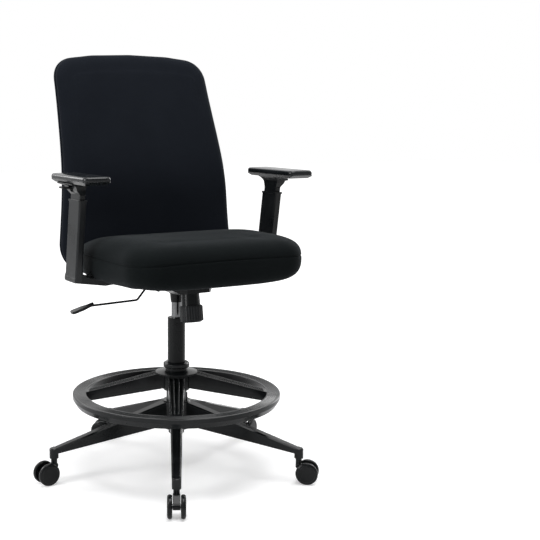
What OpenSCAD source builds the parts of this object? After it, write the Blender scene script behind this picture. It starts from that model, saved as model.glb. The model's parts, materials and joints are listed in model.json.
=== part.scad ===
// Drafting chair: star base on casters, foot ring, gas lift, tilt mechanism,
// upholstered seat and back, and height-adjustable arms.
// Millimetres. +Z is up, -Y is the way the sitter faces, the origin is on the
// floor under the column.

/* [Casters] */
// Diameter of each caster wheel
wheel_d = 62; // [54:1:72]
// Width of each caster wheel
wheel_w = 13.5; // [12:0.5:18]
// Width of the caster body between its two wheels
caster_body_w = 19.5; // [16:0.5:24]
// Diameter of the caster body's neck
caster_neck_d = 17; // [15:0.5:19]
// Distance from the caster's stem back to its axle
caster_trail = 24; // [20:1:30]
// Diameter of the caster's stem
stem_d = 11; // [9:0.5:12]
// Length of the stem inside the leg's socket
stem_h = 22; // [16:1:24]
// Diameter of the caster's axle
axle_d = 6; // [5:0.5:8]
// Height of the leg's socket above the top of the wheels
caster_gap = 8.5; // [7:0.5:13]

/* [Star base] */
// Distance from the column to each caster's stem
base_r = 356; // [300:1:400]
// Height of the hub's top above the bottom of the sockets
hub_rise = 137.5; // [125:0.5:150]
// Diameter of the hub
hub_d = 82; // [74:1:92]
// Height of the hub
hub_h = 80; // [66:1:90]
// Width of a leg where it leaves the hub
leg_w_hub = 42; // [36:1:46]
// Width of a leg at a quarter of its length
leg_w_mid = 33; // [29:1:35]
// Width of a leg at its outer end
leg_w_end = 25; // [22:1:28]
// Depth of a leg where it leaves the hub
leg_depth_hub = 66; // [56:1:70]
// Depth of a leg at its outer end
leg_depth_end = 15; // [13:1:19]
// Wall of the legs, which are open below
leg_wall = 3.5; // [3:0.5:4.5]
// Diameter of the socket post at the end of a leg
post_d = 25; // [23:1:28]
// Height of the socket post
post_h = 28; // [24:1:30]
// Turn of the base about the column
base_turn = -28; // [-36:1:36]

/* [Foot ring] */
// Outer diameter of the foot ring
ring_d = 588; // [500:1:620]
// Width of the tread round the ring
ring_w = 38.5; // [30:0.5:46]
// Height of the ring
ring_h = 27; // [22:1:32]
// Wall of the ring, which is open below
ring_wall = 4; // [3:0.5:5]
// Depth of the grooves in the tread
groove_depth = 1.2; // [0.8:0.1:1.6]
// Height of the foot ring's hub above the base hub
ring_hub_h = 87; // [80:1:96]
// Drop from the hub's flange to the tread
ring_drop = 62.5; // [50:0.5:66]
// Diameter of the foot ring's hub
ring_hub_d = 83; // [76:1:90]
// Diameter of the flange on top of that hub
flange_d = 119; // [110:1:126]
// Width of a spoke at the hub
spoke_w_hub = 46; // [38:1:50]
// Width of a spoke at the ring
spoke_w_end = 33; // [28:1:38]
// Diameter of the collet that slides on the column
collet_d = 57; // [55:0.5:60]
// Diameter of the twist collar
collar_d = 74; // [70:1:80]
// Height of the twist collar
collar_h = 22; // [18:1:26]

/* [Gas lift] */
// Diameter of the column's outer tube
column_d = 50; // [48:0.5:52]
// Height of the column's top above the base hub
column_rise = 237; // [225:1:265]
// Wall of the column's tube
column_wall = 2; // [1.5:0.5:2.5]
// Diameter of the gas cylinder
cylinder_d = 28; // [26:0.5:30]
// Length of gas cylinder that shows above the column
lift_gap = 45; // [42:1:60]
// Length of gas cylinder inside the column
cylinder_inset = 262; // [256:1:268]
// Diameter of the piston rod
rod_d = 10; // [8:0.5:12]

/* [Tilt mechanism] */
// Length of the housing's socket below its floor
socket_h = 31; // [28:1:38]
// Height of the housing from its floor to the seat plate
housing_h = 39; // [37:1:46]
// Width of the housing
housing_w = 156; // [140:1:168]
// Thickness of the housing's walls
housing_wall = 3; // [2.5:0.5:4]
// Distance from the column forward to the foot of the tension knob
knob_reach = 92; // [90:1:100]
// Lean of the tension knob's axis, foot forward, in degrees
knob_lean = 9; // [7:0.5:11]
// Diameter of the tension knob
knob_d = 64; // [62:1:70]
// Height of the tension knob
knob_h = 46; // [42:1:50]
// Distance from the column forward to the tilt pivot
pivot_reach = 35; // [32:1:36]
// Diameter of the tilt pivot pin
pivot_d = 12; // [10:0.5:14]
// Diameter of the height lever's rod
lever_d = 6; // [5:0.5:7]
// Reach of the height lever to the tip of its paddle
lever_reach = 320; // [300:1:335]

/* [Seat] */
// Width of the seat cushion
seat_w = 524; // [480:1:560]
// Front edge of the seat, forward of the column
seat_front = 298; // [280:1:320]
// Back edge of the seat, behind the column
seat_back = 146; // [130:1:150]
// Thickness of the seat cushion at its crown
seat_t = 112; // [90:1:125]
// Thickness of the seat's pan
pan_t = 12; // [10:1:15]
// Thickness of the steel seat plate
plate_t = 3; // [2.5:0.5:4]

/* [Back] */
// Width of the back at its widest, near the seat
back_w = 536; // [500:1:560]
// Width of the back just below its top corners
back_w_top = 472; // [430:1:500]
// Height of the back from its lowest point to its top
back_h = 639; // [560:1:680]
// Drop of the back below the underside of the seat cushion
back_drop = 30; // [24:1:36]
// Middle of the lumbar part, behind the column
back_y = 180; // [178:1:200]
// Thickness of the whole back
back_t = 50; // [48:1:60]
// Rake of the upper part of the back, in degrees from upright
back_rake = 20; // [12:1:24]
// Thickness of the shell inside the back
shell_t = 10; // [8:1:12]

/* [Arms] */
// Gap from the seat's side to the middle of each arm's sleeve
arm_gap = 41; // [38:1:68]
// Middle of the sleeve's foot, behind the column
arm_y = 18; // [10:1:26]
// Forward lean of the arms, in degrees from upright
arm_lean = 9.5; // [5:0.5:12]
// Length of the sleeve
sleeve_h = 218; // [190:1:230]
// Width of the sleeve, front to back
sleeve_w = 72; // [69:1:80]
// Thickness of the sleeve, side to side
sleeve_t = 21; // [20:0.5:24]
// Wall of the sleeve
sleeve_wall = 2.5; // [2:0.5:3]
// Length of the arm pad
pad_l = 236; // [220:1:260]
// Width of the arm pad
pad_w = 77; // [72:1:90]
// Thickness of the soft top of the arm pad
pad_t = 12; // [10:1:18]
// Thickness of the hard base under the arm pad
pad_base_t = 10; // [10:1:14]
// Height of the pad's underside above the sleeve's top
pad_gap = 44.5; // [40:0.5:60]

/* [Hidden] */

$fn = 64;

// Clearances
fit_gap = 0.05;      // a shaft in its hole
move_gap = 0.3;      // pieces that move past each other
bolt_gap = 0.2;      // a bolt in its hole
overcut = 1;         // how far a cut runs past a face

// Colours
nylon = "#1c1d1f";
steel = "#8b8d90";
black_steel = "#232426";
chrome = "#c9cbce";
fabric = "#17181c";
soft_plastic = "#26282a";

// Heights, stacked from the floor up
socket_z = wheel_d + caster_gap;
hub_top_z = socket_z + hub_rise;
hub_bottom_z = hub_top_z - hub_h;
flange_z = hub_top_z + ring_hub_h;
tread_z = flange_z - ring_drop;
collar_top_z = flange_z + collar_h;
column_top_z = hub_top_z + column_rise;
tube_foot_z = hub_bottom_z - 16;
lift_z = column_top_z + lift_gap;
housing_z = lift_z + socket_h;
plate_z = housing_z + housing_h;
pan_z = plate_z + plate_t;
seat_z = pan_z + pan_t;
back_z = seat_z - back_drop;

// Column and lift
column_r = column_d / 2;
cylinder_r = cylinder_d / 2;
rod_r = rod_d / 2;
tube_bore_r = column_r - column_wall;
tube_foot_r = column_r - 2.6;
tube_foot_bore_r = tube_foot_r - column_wall;
tube_floor_t = 4;
bearing_h = 8;
bushing_h = 72;
bore_r = cylinder_r - 2.5;
cylinder_foot_z = column_top_z - cylinder_inset;
cylinder_top_z = plate_z - 22;
piston_z = cylinder_foot_z + 222;
piston_h = 16;
release_r = 4;

// Legs: the leg runs along +X from the column
leg_start = hub_d / 2 - 12;
leg_top_hub_z = hub_top_z - 4;
leg_top_end_z = socket_z + post_h;
leg_mid_r = base_r / 4;
function leg_top(r) =
    leg_top_hub_z + (leg_top_end_z - leg_top_hub_z) * (r - hub_d / 2) / (base_r - hub_d / 2);
function leg_depth(r) =
    leg_depth_hub + (leg_depth_end - leg_depth_hub) * (r - hub_d / 2) / (base_r - hub_d / 2);
function leg_half(r) = (r < leg_mid_r
    ? leg_w_hub + (leg_w_mid - leg_w_hub) * (r - leg_start) / (leg_mid_r - leg_start)
    : leg_w_mid + (leg_w_end - leg_w_mid) * (r - leg_mid_r) / (base_r - leg_mid_r)) / 2;
rib_t = 2.5;
pocket_count = 5;

// Casters: how far each swivels from pointing straight out, in the order of the legs
caster_swivels = [0, 6, 6, 44, 16];
caster_axle_z = wheel_d / 2;
wheel_x = caster_body_w / 2 + 1.2;
function caster_angle(i) = base_turn + 72 * i;

// Tilt mechanism
pivot_z = plate_z - 17;
pivot_r = pivot_d / 2;
wall_x = housing_w / 2;
tilt_clear = 13;
lever_z = cylinder_top_z + 7;
lever_y = -5;
lever_r = lever_d / 2;
lever_pivot_x = 52;
shroud_r = knob_d / 2 - 5;
shroud_show = 33;                  // shroud that shows above the knob
shroud_skirt = 15;                 // shroud inside the knob's cup
knob_floor_t = 7.5;
knob_z = lift_z - 43;
floor_s = knob_h + shroud_show;    // housing's underside, measured up the knob's axis
nose_y = -knob_reach + floor_s * sin(knob_lean);
nose_z = knob_z + floor_s * cos(knob_lean);
bolt_r = 5;
hook_z = pivot_z + 6;
bar_play = 0.5;                    // play of the bolt's cross bar in the hook
bar_s = (hook_z + bar_play + bolt_r - knob_z) / cos(knob_lean);
hook_y = -knob_reach + bar_s * sin(knob_lean);
flange_x = wall_x + 2.5;

// Seat and back
seat_half = seat_w / 2;
seat_corner = 82;                  // radius of the seat's front corners
seat_bow = 8;                      // how far the front edge bows out between them
pan_side = seat_half - 57;
shell_y = back_y - 3;
back_half = back_w / 2;
back_half_top = back_w_top / 2;
lumbar_h = 215;
bracket_w = 84;
bracket_t = 6;
bracket_y = shell_y - bracket_t - move_gap;
head_h = 4;

// Arms
arm_x = seat_half + arm_gap;
arm_foot_z = seat_z;
sleeve_top_z = arm_foot_z + sleeve_h * cos(arm_lean);
sleeve_top_y = arm_y - sleeve_h * sin(arm_lean);
pad_y = arm_y - 65;
pad_x = arm_x + 4.5;
pad_z = sleeve_top_z + pad_gap;
bar_t = 6;
bar_w = 50;
bar_inner_x = 120;
upright_t = 5;
heel_t = upright_t + 1;
upright_w = 40;
upright_h = 122;
post_play = 2.5;                   // room in front of and behind the post in its sleeve
post_w = sleeve_w - 2 * sleeve_wall - 2 * post_play;
post_t = sleeve_t - 2 * sleeve_wall - 2 * move_gap;
post_foot = sleeve_h - 110;
trigger_x = arm_x + post_t / 2 + 7.6;
trigger_z = pad_z - 14;
trigger_pin_r = 1.5;

// ---------------------------------------------------------------- helpers

// Rounded rectangle, centred
module round_rect(w, l, r) {
    union() {
        square([w - 2 * r, l], center = true);
        square([w, l - 2 * r], center = true);
        for (x = [-1, 1])
            for (y = [-1, 1])
                translate([x * (w / 2 - r), y * (l / 2 - r)])
                    circle(r = r, $fn = 32);
    }
}

// Repeats a child round the Z axis
module ring_of(count, start = 0) {
    for (i = [0:count - 1])
        rotate([0, 0, start + 360 / count * i])
            children();
}

// Extrudes an (x, z) outline along Y, from y0 to y1
module along_y(y0, y1) {
    translate([0, y1, 0])
        rotate([90, 0, 0])
            linear_extrude(y1 - y0)
                children();
}

// Extrudes a (y, z) outline along X, from x0 to x1
module along_x(x0, x1) {
    translate([x0, 0, 0])
        rotate([90, 0, 90])
            linear_extrude(x1 - x0)
                children();
}

// Puts a child on the tension knob's leaning axis, with its foot at the origin
module at_knob() {
    translate([0, -knob_reach, knob_z])
        rotate([-knob_lean, 0, 0])
            children();
}

// Mirrors the left arm to make the right one
module side(s) {
    if (s > 0) children();
    else mirror([1, 0, 0]) children();
}

// ---------------------------------------------------------------- star base

// The solid of a leg between two radii, shrunk by a wall on its sides and top
module leg_wedge(r0, r1, wall, below) {
    intersection() {
        along_y(-leg_w_hub, leg_w_hub)
            polygon([
                [r0, leg_top(r0) - wall],
                [r1, leg_top(r1) - wall],
                [r1, leg_top(r1) - leg_depth(r1) - below],
                [r0, leg_top(r0) - leg_depth(r0) - below]]);
        translate([0, 0, socket_z - 20])
            linear_extrude(hub_rise + 40)
                polygon([
                    [r0, -leg_half(r0) + wall],
                    if (r0 < leg_mid_r && r1 > leg_mid_r) [leg_mid_r, -leg_half(leg_mid_r) + wall],
                    [r1, -leg_half(r1) + wall],
                    [r1, leg_half(r1) - wall],
                    if (r0 < leg_mid_r && r1 > leg_mid_r) [leg_mid_r, leg_half(leg_mid_r) - wall],
                    [r0, leg_half(r0) - wall]]);
    }
}

// Bevel along one top edge of a leg
module leg_bevel(s, r0, r1) {
    sweep = atan((leg_half(r1) - leg_half(r0)) / (r1 - r0));
    run = (r1 - r0) / cos(sweep);
    slope = atan((leg_top(r1) - leg_top(r0)) / run);
    bevel = 2.6;
    translate([r0, s * leg_half(r0), leg_top(r0)])
        rotate([0, 0, s * sweep])
            rotate([0, -slope, 0])
                rotate([45, 0, 0])
                    translate([-overcut, -bevel, -bevel])
                        cube([run / cos(slope) + 2 * overcut, 2 * bevel, 2 * bevel]);
}

module base_leg() {
    pocket_start = hub_d / 2 + 5;
    pocket_end = base_r - post_d / 2 - 2;
    pitch = (pocket_end - pocket_start) / pocket_count;
    difference() {
        union() {
            leg_wedge(leg_start, base_r, 0, 0);
            translate([base_r, 0, socket_z])
                cylinder(d = post_d, h = post_h - 2);
            translate([base_r, 0, socket_z + post_h - 2])
                cylinder(d1 = post_d, d2 = post_d - 5, h = 2.4);
        }
        for (i = [0:pocket_count - 1])
            leg_wedge(pocket_start + pitch * i + rib_t / 2,
                      pocket_start + pitch * (i + 1) - rib_t / 2, leg_wall, 20);
        for (s = [-1, 1]) {
            leg_bevel(s, leg_start, leg_mid_r);
            leg_bevel(s, leg_mid_r, base_r - 4);
        }
        translate([base_r, 0, socket_z - overcut])
            cylinder(d = stem_d + 2 * fit_gap, h = stem_h + 2 + overcut);
    }
}

module star_base() {
    color(nylon)
        difference() {
            union() {
                ring_of(5, base_turn - 90) base_leg();
                translate([0, 0, hub_bottom_z])
                    cylinder(d = hub_d, h = hub_h - 3);
                translate([0, 0, hub_top_z - 3])
                    cylinder(d1 = hub_d, d2 = hub_d - 6, h = 3);
            }
            // tapered bore for the column
            rotate_extrude()
                polygon([
                    [0, hub_bottom_z - hub_h], [tube_foot_r + fit_gap, hub_bottom_z - hub_h],
                    [tube_foot_r + fit_gap, hub_bottom_z], [column_r + fit_gap, hub_top_z],
                    [column_r + fit_gap, hub_top_z + overcut], [0, hub_top_z + overcut]]);
        }
}

// ---------------------------------------------------------------- gas lift

module column_tube() {
    notch_r = 4.5;
    color(black_steel)
        difference() {
            union() {
                translate([0, 0, hub_top_z])
                    cylinder(r = column_r, h = column_rise);
                translate([0, 0, hub_bottom_z])
                    cylinder(r1 = tube_foot_r, r2 = column_r, h = hub_h);
                translate([0, 0, tube_foot_z])
                    cylinder(r = tube_foot_r, h = hub_bottom_z - tube_foot_z);
            }
            translate([0, 0, hub_top_z + 6])
                cylinder(r = tube_bore_r, h = column_rise);
            translate([0, 0, tube_foot_z + tube_floor_t])
                cylinder(r = tube_foot_bore_r, h = hub_top_z - tube_foot_z + 4);
            translate([0, 0, tube_foot_z - overcut])
                cylinder(r = rod_r + 0.4, h = tube_floor_t + 2 * overcut);
            // crimped window under the rim, at the front
            rotate([0, 0, base_turn])
                translate([0, -column_r - overcut, column_top_z - 12])
                    rotate([-90, 0, 0])
                        difference() {
                            cylinder(r = notch_r, h = 1.6 + overcut);
                            translate([0, 0, -overcut])
                                cylinder(r = notch_r - 1.8, h = 2.6 + 2 * overcut);
                            translate([-notch_r, -2 * notch_r, -overcut])
                                cube([2 * notch_r, 2 * notch_r - 0.5, 2.6 + 2 * overcut]);
                        }
        }
}

// Plastic guide in the top of the column, with a notched rim
module column_bushing() {
    rim_h = 1;
    color(nylon)
        difference() {
            union() {
                translate([0, 0, column_top_z - bushing_h])
                    cylinder(r = tube_bore_r - fit_gap, h = bushing_h);
                translate([0, 0, column_top_z])
                    cylinder(r = column_r - 0.6, h = rim_h);
            }
            translate([0, 0, column_top_z - bushing_h - overcut])
                cylinder(r = cylinder_r + fit_gap, h = bushing_h + rim_h + 2 * overcut);
            ring_of(6, base_turn)
                translate([0, -column_r + 2.4, column_top_z + rim_h])
                    rotate([90, 0, 0])
                        cylinder(r = 2, h = 10, center = true, $fn = 24);
            translate([0, 0, column_top_z - bushing_h + 16])
                difference() {
                    cylinder(r = tube_bore_r + overcut, h = bushing_h - 34);
                    translate([0, 0, -overcut])
                        cylinder(r = cylinder_r + 4, h = bushing_h);
                }
        }
}

// Ball thrust bearing and retaining clip at the foot of the piston rod
module thrust_bearing() {
    z0 = tube_foot_z + tube_floor_t;
    ball_r = 1.9;
    race_t = 1.9;
    color(steel) {
        for (z = [z0, z0 + bearing_h - race_t])
            translate([0, 0, z])
                difference() {
                    cylinder(r = rod_r + 8, h = race_t);
                    translate([0, 0, -overcut])
                        cylinder(r = rod_r + 0.4, h = race_t + 2 * overcut);
                }
        ring_of(10)
            translate([rod_r + 4.6, 0, z0 + bearing_h / 2])
                sphere(r = ball_r, $fn = 20);
    }
}

module piston_rod() {
    collar_z = tube_foot_z + tube_floor_t + bearing_h + move_gap / 2;
    foot_h = 6;
    color(steel)
        union() {
            translate([0, 0, tube_foot_z - foot_h])
                cylinder(r = rod_r, h = piston_z + piston_h + 6 - tube_foot_z + foot_h);
            translate([0, 0, collar_z])
                cylinder(r = rod_r + 6, h = 5);
            translate([0, 0, piston_z])
                cylinder(r = bore_r - 0.08, h = piston_h);
            // retaining clip under the floor of the tube
            translate([0, 0, tube_foot_z - 1.8])
                cylinder(r = rod_r + 5, h = 1.5);
        }
}

module gas_cylinder() {
    cap_t = 9;
    color(chrome)
        difference() {
            union() {
                translate([0, 0, cylinder_foot_z])
                    cylinder(r = cylinder_r, h = lift_z - cylinder_foot_z);
                translate([0, 0, lift_z])
                    cylinder(r1 = cylinder_r, r2 = cylinder_r - 1, h = cylinder_top_z - lift_z);
            }
            translate([0, 0, cylinder_foot_z + cap_t])
                cylinder(r = bore_r, h = cylinder_top_z - 20 - cylinder_foot_z - cap_t);
            translate([0, 0, cylinder_foot_z - overcut])
                cylinder(r = rod_r + fit_gap, h = cap_t + 2 * overcut);
            translate([0, 0, cylinder_top_z - 14])
                cylinder(r = release_r + fit_gap, h = 14 + overcut);
        }
}

module release_pin() {
    color(steel)
        translate([0, 0, cylinder_top_z - 10])
            cylinder(r = release_r, h = lever_z - lever_r - move_gap - cylinder_top_z + 10);
}

// ---------------------------------------------------------------- foot ring

ring_r = ring_d / 2;
ring_inner_r = ring_r - ring_w;
spoke_start = ring_hub_d / 2 - 6;
function spoke_way(r) = (r - ring_hub_d / 2) / (ring_inner_r - ring_hub_d / 2);
function spoke_top(r) = flange_z - 5 + (tread_z - flange_z + 5) * spoke_way(r);
function spoke_bottom(r) = hub_top_z + 36 + (tread_z - ring_h - hub_top_z - 36) * spoke_way(r);
function spoke_half(r) =
    (spoke_w_hub + (spoke_w_end - spoke_w_hub) * (r - spoke_start) / (ring_inner_r - spoke_start)) / 2;

// A lengthwise slice of a spoke: sides a and b are shares of its half width
module spoke_slice(r0, r1, a, b, edge_a, edge_b, top_cut, bottom_z) {
    intersection() {
        along_y(-spoke_w_hub, spoke_w_hub)
            polygon([
                [r0, spoke_top(r0) + top_cut],
                [r1, spoke_top(r1) + top_cut],
                [r1, bottom_z < 0 ? spoke_top(r1) + bottom_z : spoke_bottom(r1)],
                [r0, bottom_z < 0 ? spoke_top(r0) + bottom_z : spoke_bottom(r0)]]);
        translate([0, 0, hub_top_z - 10])
            linear_extrude(ring_hub_h + 30)
                polygon([
                    [r0, a * spoke_half(r0) + edge_a],
                    [r1, a * spoke_half(r1) + edge_a],
                    [r1, b * spoke_half(r1) + edge_b],
                    [r0, b * spoke_half(r0) + edge_b]]);
    }
}

module foot_spoke() {
    lip = 3.2;
    rib = 1.3;
    channel = 5;
    channel_start = ring_hub_d / 2 + 14;
    channel_end = ring_inner_r - 8;
    third = 1 / 3;
    difference() {
        spoke_slice(spoke_start, ring_inner_r + ring_wall / 2, -1, 1, 0, 0, 0, 0);
        for (cut = [[-1, -third, lip, -rib], [-third, third, rib, -rib], [third, 1, rib, -lip]])
            spoke_slice(channel_start, channel_end, cut[0], cut[1], cut[2], cut[3], overcut, -channel);
    }
}

// Section through the rim: grooved tread, sloping outer wall, open below
module rim_profile() {
    lip_h = 12;
    slope_in = 9;
    bevel = 1.5;
    groove_n = 5;
    groove_pitch = (ring_w - 12) / groove_n;
    groove_start = ring_inner_r + 6;
    polygon(concat(
        [[ring_inner_r, tread_z - ring_h],
         [ring_inner_r, tread_z - bevel],
         [ring_inner_r + bevel, tread_z]],
        [for (i = [0:groove_n - 1], j = [0:3])
            [groove_start + groove_pitch * (i + [0, 0.25, 0.55, 0.8][j]),
             tread_z - [0, groove_depth, groove_depth, 0][j]]],
        [[ring_r - bevel, tread_z],
         [ring_r, tread_z - bevel],
         [ring_r, tread_z - lip_h],
         [ring_r - slope_in, tread_z - ring_h],
         [ring_r - slope_in - ring_wall, tread_z - ring_h],
         [ring_r - ring_wall - 1, tread_z - lip_h],
         [ring_r - ring_wall - 1, tread_z - ring_wall - groove_depth],
         [ring_inner_r + ring_wall, tread_z - ring_wall - groove_depth],
         [ring_inner_r + ring_wall, tread_z - ring_h]]));
}

module foot_ring() {
    rim_ribs = 20;
    color(nylon)
        difference() {
            union() {
                rotate_extrude($fn = 128) rim_profile();
                // stiffening ribs under the tread
                ring_of(rim_ribs, base_turn + 9)
                    translate([ring_inner_r + ring_wall / 2, -rib_t / 2, tread_z - ring_h + 5])
                        cube([ring_w - ring_wall - 3, rib_t, ring_h - 5 - ring_wall / 2 - groove_depth]);
                ring_of(4, base_turn - 90) foot_spoke();
                translate([0, 0, hub_top_z + 36])
                    cylinder(d = ring_hub_d, h = flange_z - hub_top_z - 40);
                translate([0, 0, hub_top_z + 30])
                    cylinder(d1 = ring_hub_d - 10, d2 = ring_hub_d, h = 6);
                translate([0, 0, flange_z - 9])
                    cylinder(d = flange_d, h = 4);
                translate([0, 0, flange_z - 5])
                    cylinder(d1 = flange_d, d2 = collar_d - 4, h = 5);
            }
            translate([0, 0, hub_top_z])
                cylinder(d = collet_d + 2 * fit_gap, h = ring_hub_h + 10);
        }
}

// Split sleeve that grips the column when the collar is turned
module foot_ring_collet() {
    slot_w = 3;
    slot_h = 30;
    top_z = collar_top_z - 2;
    color(soft_plastic)
        difference() {
            union() {
                translate([0, 0, hub_top_z + move_gap])
                    cylinder(d = collet_d, h = top_z - hub_top_z - move_gap);
                // locating lug at the side
                rotate([0, 0, base_turn])
                    translate([collet_d / 2 - 2, -3, hub_top_z + move_gap])
                        cube([5, 6, 20]);
            }
            translate([0, 0, hub_top_z - overcut])
                cylinder(r = column_r + move_gap, h = ring_hub_h + collar_h + 2 * overcut);
            ring_of(4, base_turn + 45)
                translate([column_r - 2, -slot_w / 2, top_z - slot_h])
                    cube([8, slot_w, slot_h + overcut]);
        }
}

module foot_ring_collar() {
    neck_h = 8;
    bevel = 3;
    grip_n = 8;
    color(nylon)
        difference() {
            union() {
                translate([0, 0, flange_z + move_gap])
                    cylinder(d = collar_d - 12, h = neck_h);
                translate([0, 0, flange_z + neck_h])
                    cylinder(d1 = collar_d - 4, d2 = collar_d, h = 3);
                translate([0, 0, flange_z + neck_h + 3])
                    cylinder(d = collar_d, h = collar_h - neck_h - 3 - bevel);
                translate([0, 0, collar_top_z - bevel])
                    cylinder(d1 = collar_d, d2 = collar_d - 2 * bevel, h = bevel);
            }
            translate([0, 0, flange_z - overcut])
                cylinder(d = collet_d + 2 * move_gap, h = collar_h + 2 * overcut);
            translate([0, 0, collar_top_z - bevel])
                cylinder(d1 = collet_d + 2 * move_gap, d2 = collar_d - 3 * bevel, h = bevel + 0.01);
            ring_of(grip_n, base_turn + 22.5)
                translate([collar_d / 2 + 1.4, 0, flange_z + neck_h])
                    cylinder(r = 2.4, h = collar_h, $fn = 24);
        }
}

// ---------------------------------------------------------------- tilt mechanism

housing_front = knob_reach + 36;
housing_back = 66;
housing_rim = housing_h - 5;
floor_half = 32;
slope_h = 28;

// The housing's outer form, or its inside when wall is more than zero
module housing_form(wall) {
    nose_rise = tan(knob_lean);
    crease_y = nose_y + (nose_z - housing_z) / nose_rise;
    nose_end = nose_z + (nose_y + housing_front) * nose_rise;
    intersection() {
        along_y(-housing_front + wall, housing_back - wall)
            polygon([
                [-floor_half + wall, housing_z + wall], [floor_half - wall, housing_z + wall],
                [wall_x - wall, housing_z + slope_h], [wall_x - wall, housing_z + housing_h + wall],
                [-wall_x + wall, housing_z + housing_h + wall], [-wall_x + wall, housing_z + slope_h]]);
        // underside rises towards the nose, square to the knob's axis
        along_x(-wall_x, wall_x)
            polygon([
                [-housing_front, nose_end + wall], [crease_y, housing_z + wall],
                [housing_back, housing_z + wall], [housing_back, housing_z + housing_h + 20],
                [-housing_front, housing_z + housing_h + 20]]);
        translate([0, 0, housing_z])
            linear_extrude(housing_h + 10)
                polygon([
                    [-34 + wall, -housing_front + wall], [34 - wall, -housing_front + wall],
                    [wall_x - wall, -pivot_reach - 36], [wall_x - wall, 10],
                    [56 - wall, housing_back - wall], [-56 + wall, housing_back - wall],
                    [-wall_x + wall, 10], [-wall_x + wall, -pivot_reach - 36]]);
    }
}

module tilt_housing() {
    boss_r = cylinder_r + 4;
    socket_r = cylinder_r + 2;
    ear_y = 8;
    rear_drop = (housing_back + pivot_reach - 5) * tan(tilt_clear);
    color(black_steel)
        difference() {
            union() {
                difference() {
                    intersection() {
                        housing_form(0);
                        along_x(-wall_x - overcut, wall_x + overcut)
                            polygon([
                                [-housing_front - overcut, housing_z - overcut],
                                [housing_back + overcut, housing_z - overcut],
                                [housing_back + overcut, housing_z + housing_rim - rear_drop],
                                [-pivot_reach + 5, housing_z + housing_rim],
                                [-housing_front - overcut, housing_z + housing_rim]]);
                    }
                    housing_form(housing_wall);
                }
                // socket for the gas cylinder, flared into the floor
                translate([0, 0, lift_z])
                    rotate_extrude()
                        polygon([
                            [0, 0], [socket_r, 0], [socket_r + 2, socket_h - 9],
                            [socket_r + 7, socket_h - 3],
                            [socket_r + 14, socket_h], [socket_r + 14, socket_h + 1], [0, socket_h + 1]]);
                translate([0, 0, housing_z])
                    cylinder(r = boss_r, h = cylinder_top_z - housing_z - 1);
                // webs from the socket to the walls
                for (a = [45, 135, 225, 315])
                    rotate([0, 0, a])
                        translate([boss_r - 1, -1.5, housing_z + 1])
                            cube([14, 3, cylinder_top_z - housing_z - 5]);
                // ears that carry the height lever
                intersection() {
                    for (y = [-ear_y - 3, ear_y])
                        translate([-lever_pivot_x - 9, lever_y + y, housing_z + 8])
                            cube([18, 3, lever_z - housing_z - 4]);
                    housing_form(housing_wall / 2);
                }
            }
            translate([0, 0, lift_z - 0.01])
                cylinder(
                    r1 = cylinder_r + fit_gap,
                    r2 = cylinder_r - 1 + fit_gap,
                    h = cylinder_top_z - lift_z + 0.02);
            at_knob()
                translate([0, 0, floor_s - 10])
                    cylinder(r = bolt_r + 0.6, h = 24);
            translate([-wall_x - overcut, -pivot_reach, pivot_z])
                rotate([0, 90, 0])
                    cylinder(r = pivot_r + fit_gap, h = housing_w + 2 * overcut);
            // slot in the wall for the height lever
            translate([-wall_x - overcut, lever_y - lever_r - 1.5, lever_z - lever_r - 2])
                cube([wall_x + overcut - lever_pivot_x + 8, lever_d + 3, 40]);
            translate([-lever_pivot_x, lever_y - 20, lever_z])
                rotate([-90, 0, 0])
                    cylinder(r = 2.5 + fit_gap, h = 40);
        }
}

module tilt_pivot_pin() {
    reach = flange_x + plate_t + 1;
    color(steel)
        translate([-reach, -pivot_reach, pivot_z])
            rotate([0, 90, 0])
                union() {
                    cylinder(r = pivot_r, h = 2 * reach);
                    for (x = [-3, 2 * reach])
                        translate([0, 0, x])
                            cylinder(r = pivot_r + 3, h = 3);
                }
}

module spring_shroud() {
    wall = 5;
    shroud_h = shroud_show + shroud_skirt;
    color(nylon)
        at_knob()
            translate([0, 0, knob_h - shroud_skirt])
                difference() {
                    cylinder(r1 = shroud_r, r2 = shroud_r - 2, h = shroud_h);
                    translate([0, 0, -overcut])
                        cylinder(r = shroud_r - wall, h = shroud_h - 1);
                    cylinder(r = bolt_r + 0.8, h = shroud_h + overcut);
                }
}

// Helical compression spring
module tension_spring() {
    turns = 7;
    wire_r = 2.5;
    coil_r = 16.5;
    steps = 16;
    sides = 8;
    foot_z = knob_floor_t + wire_r + move_gap;
    head_z = floor_s - 2 - wire_r - move_gap;
    n = turns * steps;
    ring = [for (k = [0:n], j = [0:sides - 1])
        let (a = 360 * k / steps, b = 360 * j / sides,
             r = coil_r + wire_r * cos(b),
             z = foot_z + (head_z - foot_z) * k / n + wire_r * sin(b))
        [r * cos(a), r * sin(a), z]];
    walls = [for (k = [0:n - 1], j = [0:sides - 1])
        [k * sides + j, (k + 1) * sides + j, (k + 1) * sides + (j + 1) % sides, k * sides + (j + 1) % sides]];
    color(steel)
        at_knob()
            polyhedron(
                points = ring,
                faces = concat(walls, [[for (j = [0:sides - 1]) j]],
                               [[for (j = [sides - 1:-1:0]) n * sides + j]]));
}

// Bolt with a cross bar that the seat plate's hook lifts
module tension_bolt() {
    bar_half = 15;
    color(steel)
        at_knob()
            union() {
                translate([0, 0, 4])
                    cylinder(r = bolt_r, h = bar_s - 4.1);
                translate([-bar_half, 0, bar_s])
                    rotate([0, 90, 0])
                        cylinder(r = bolt_r, h = 2 * bar_half);
            }
}

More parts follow.
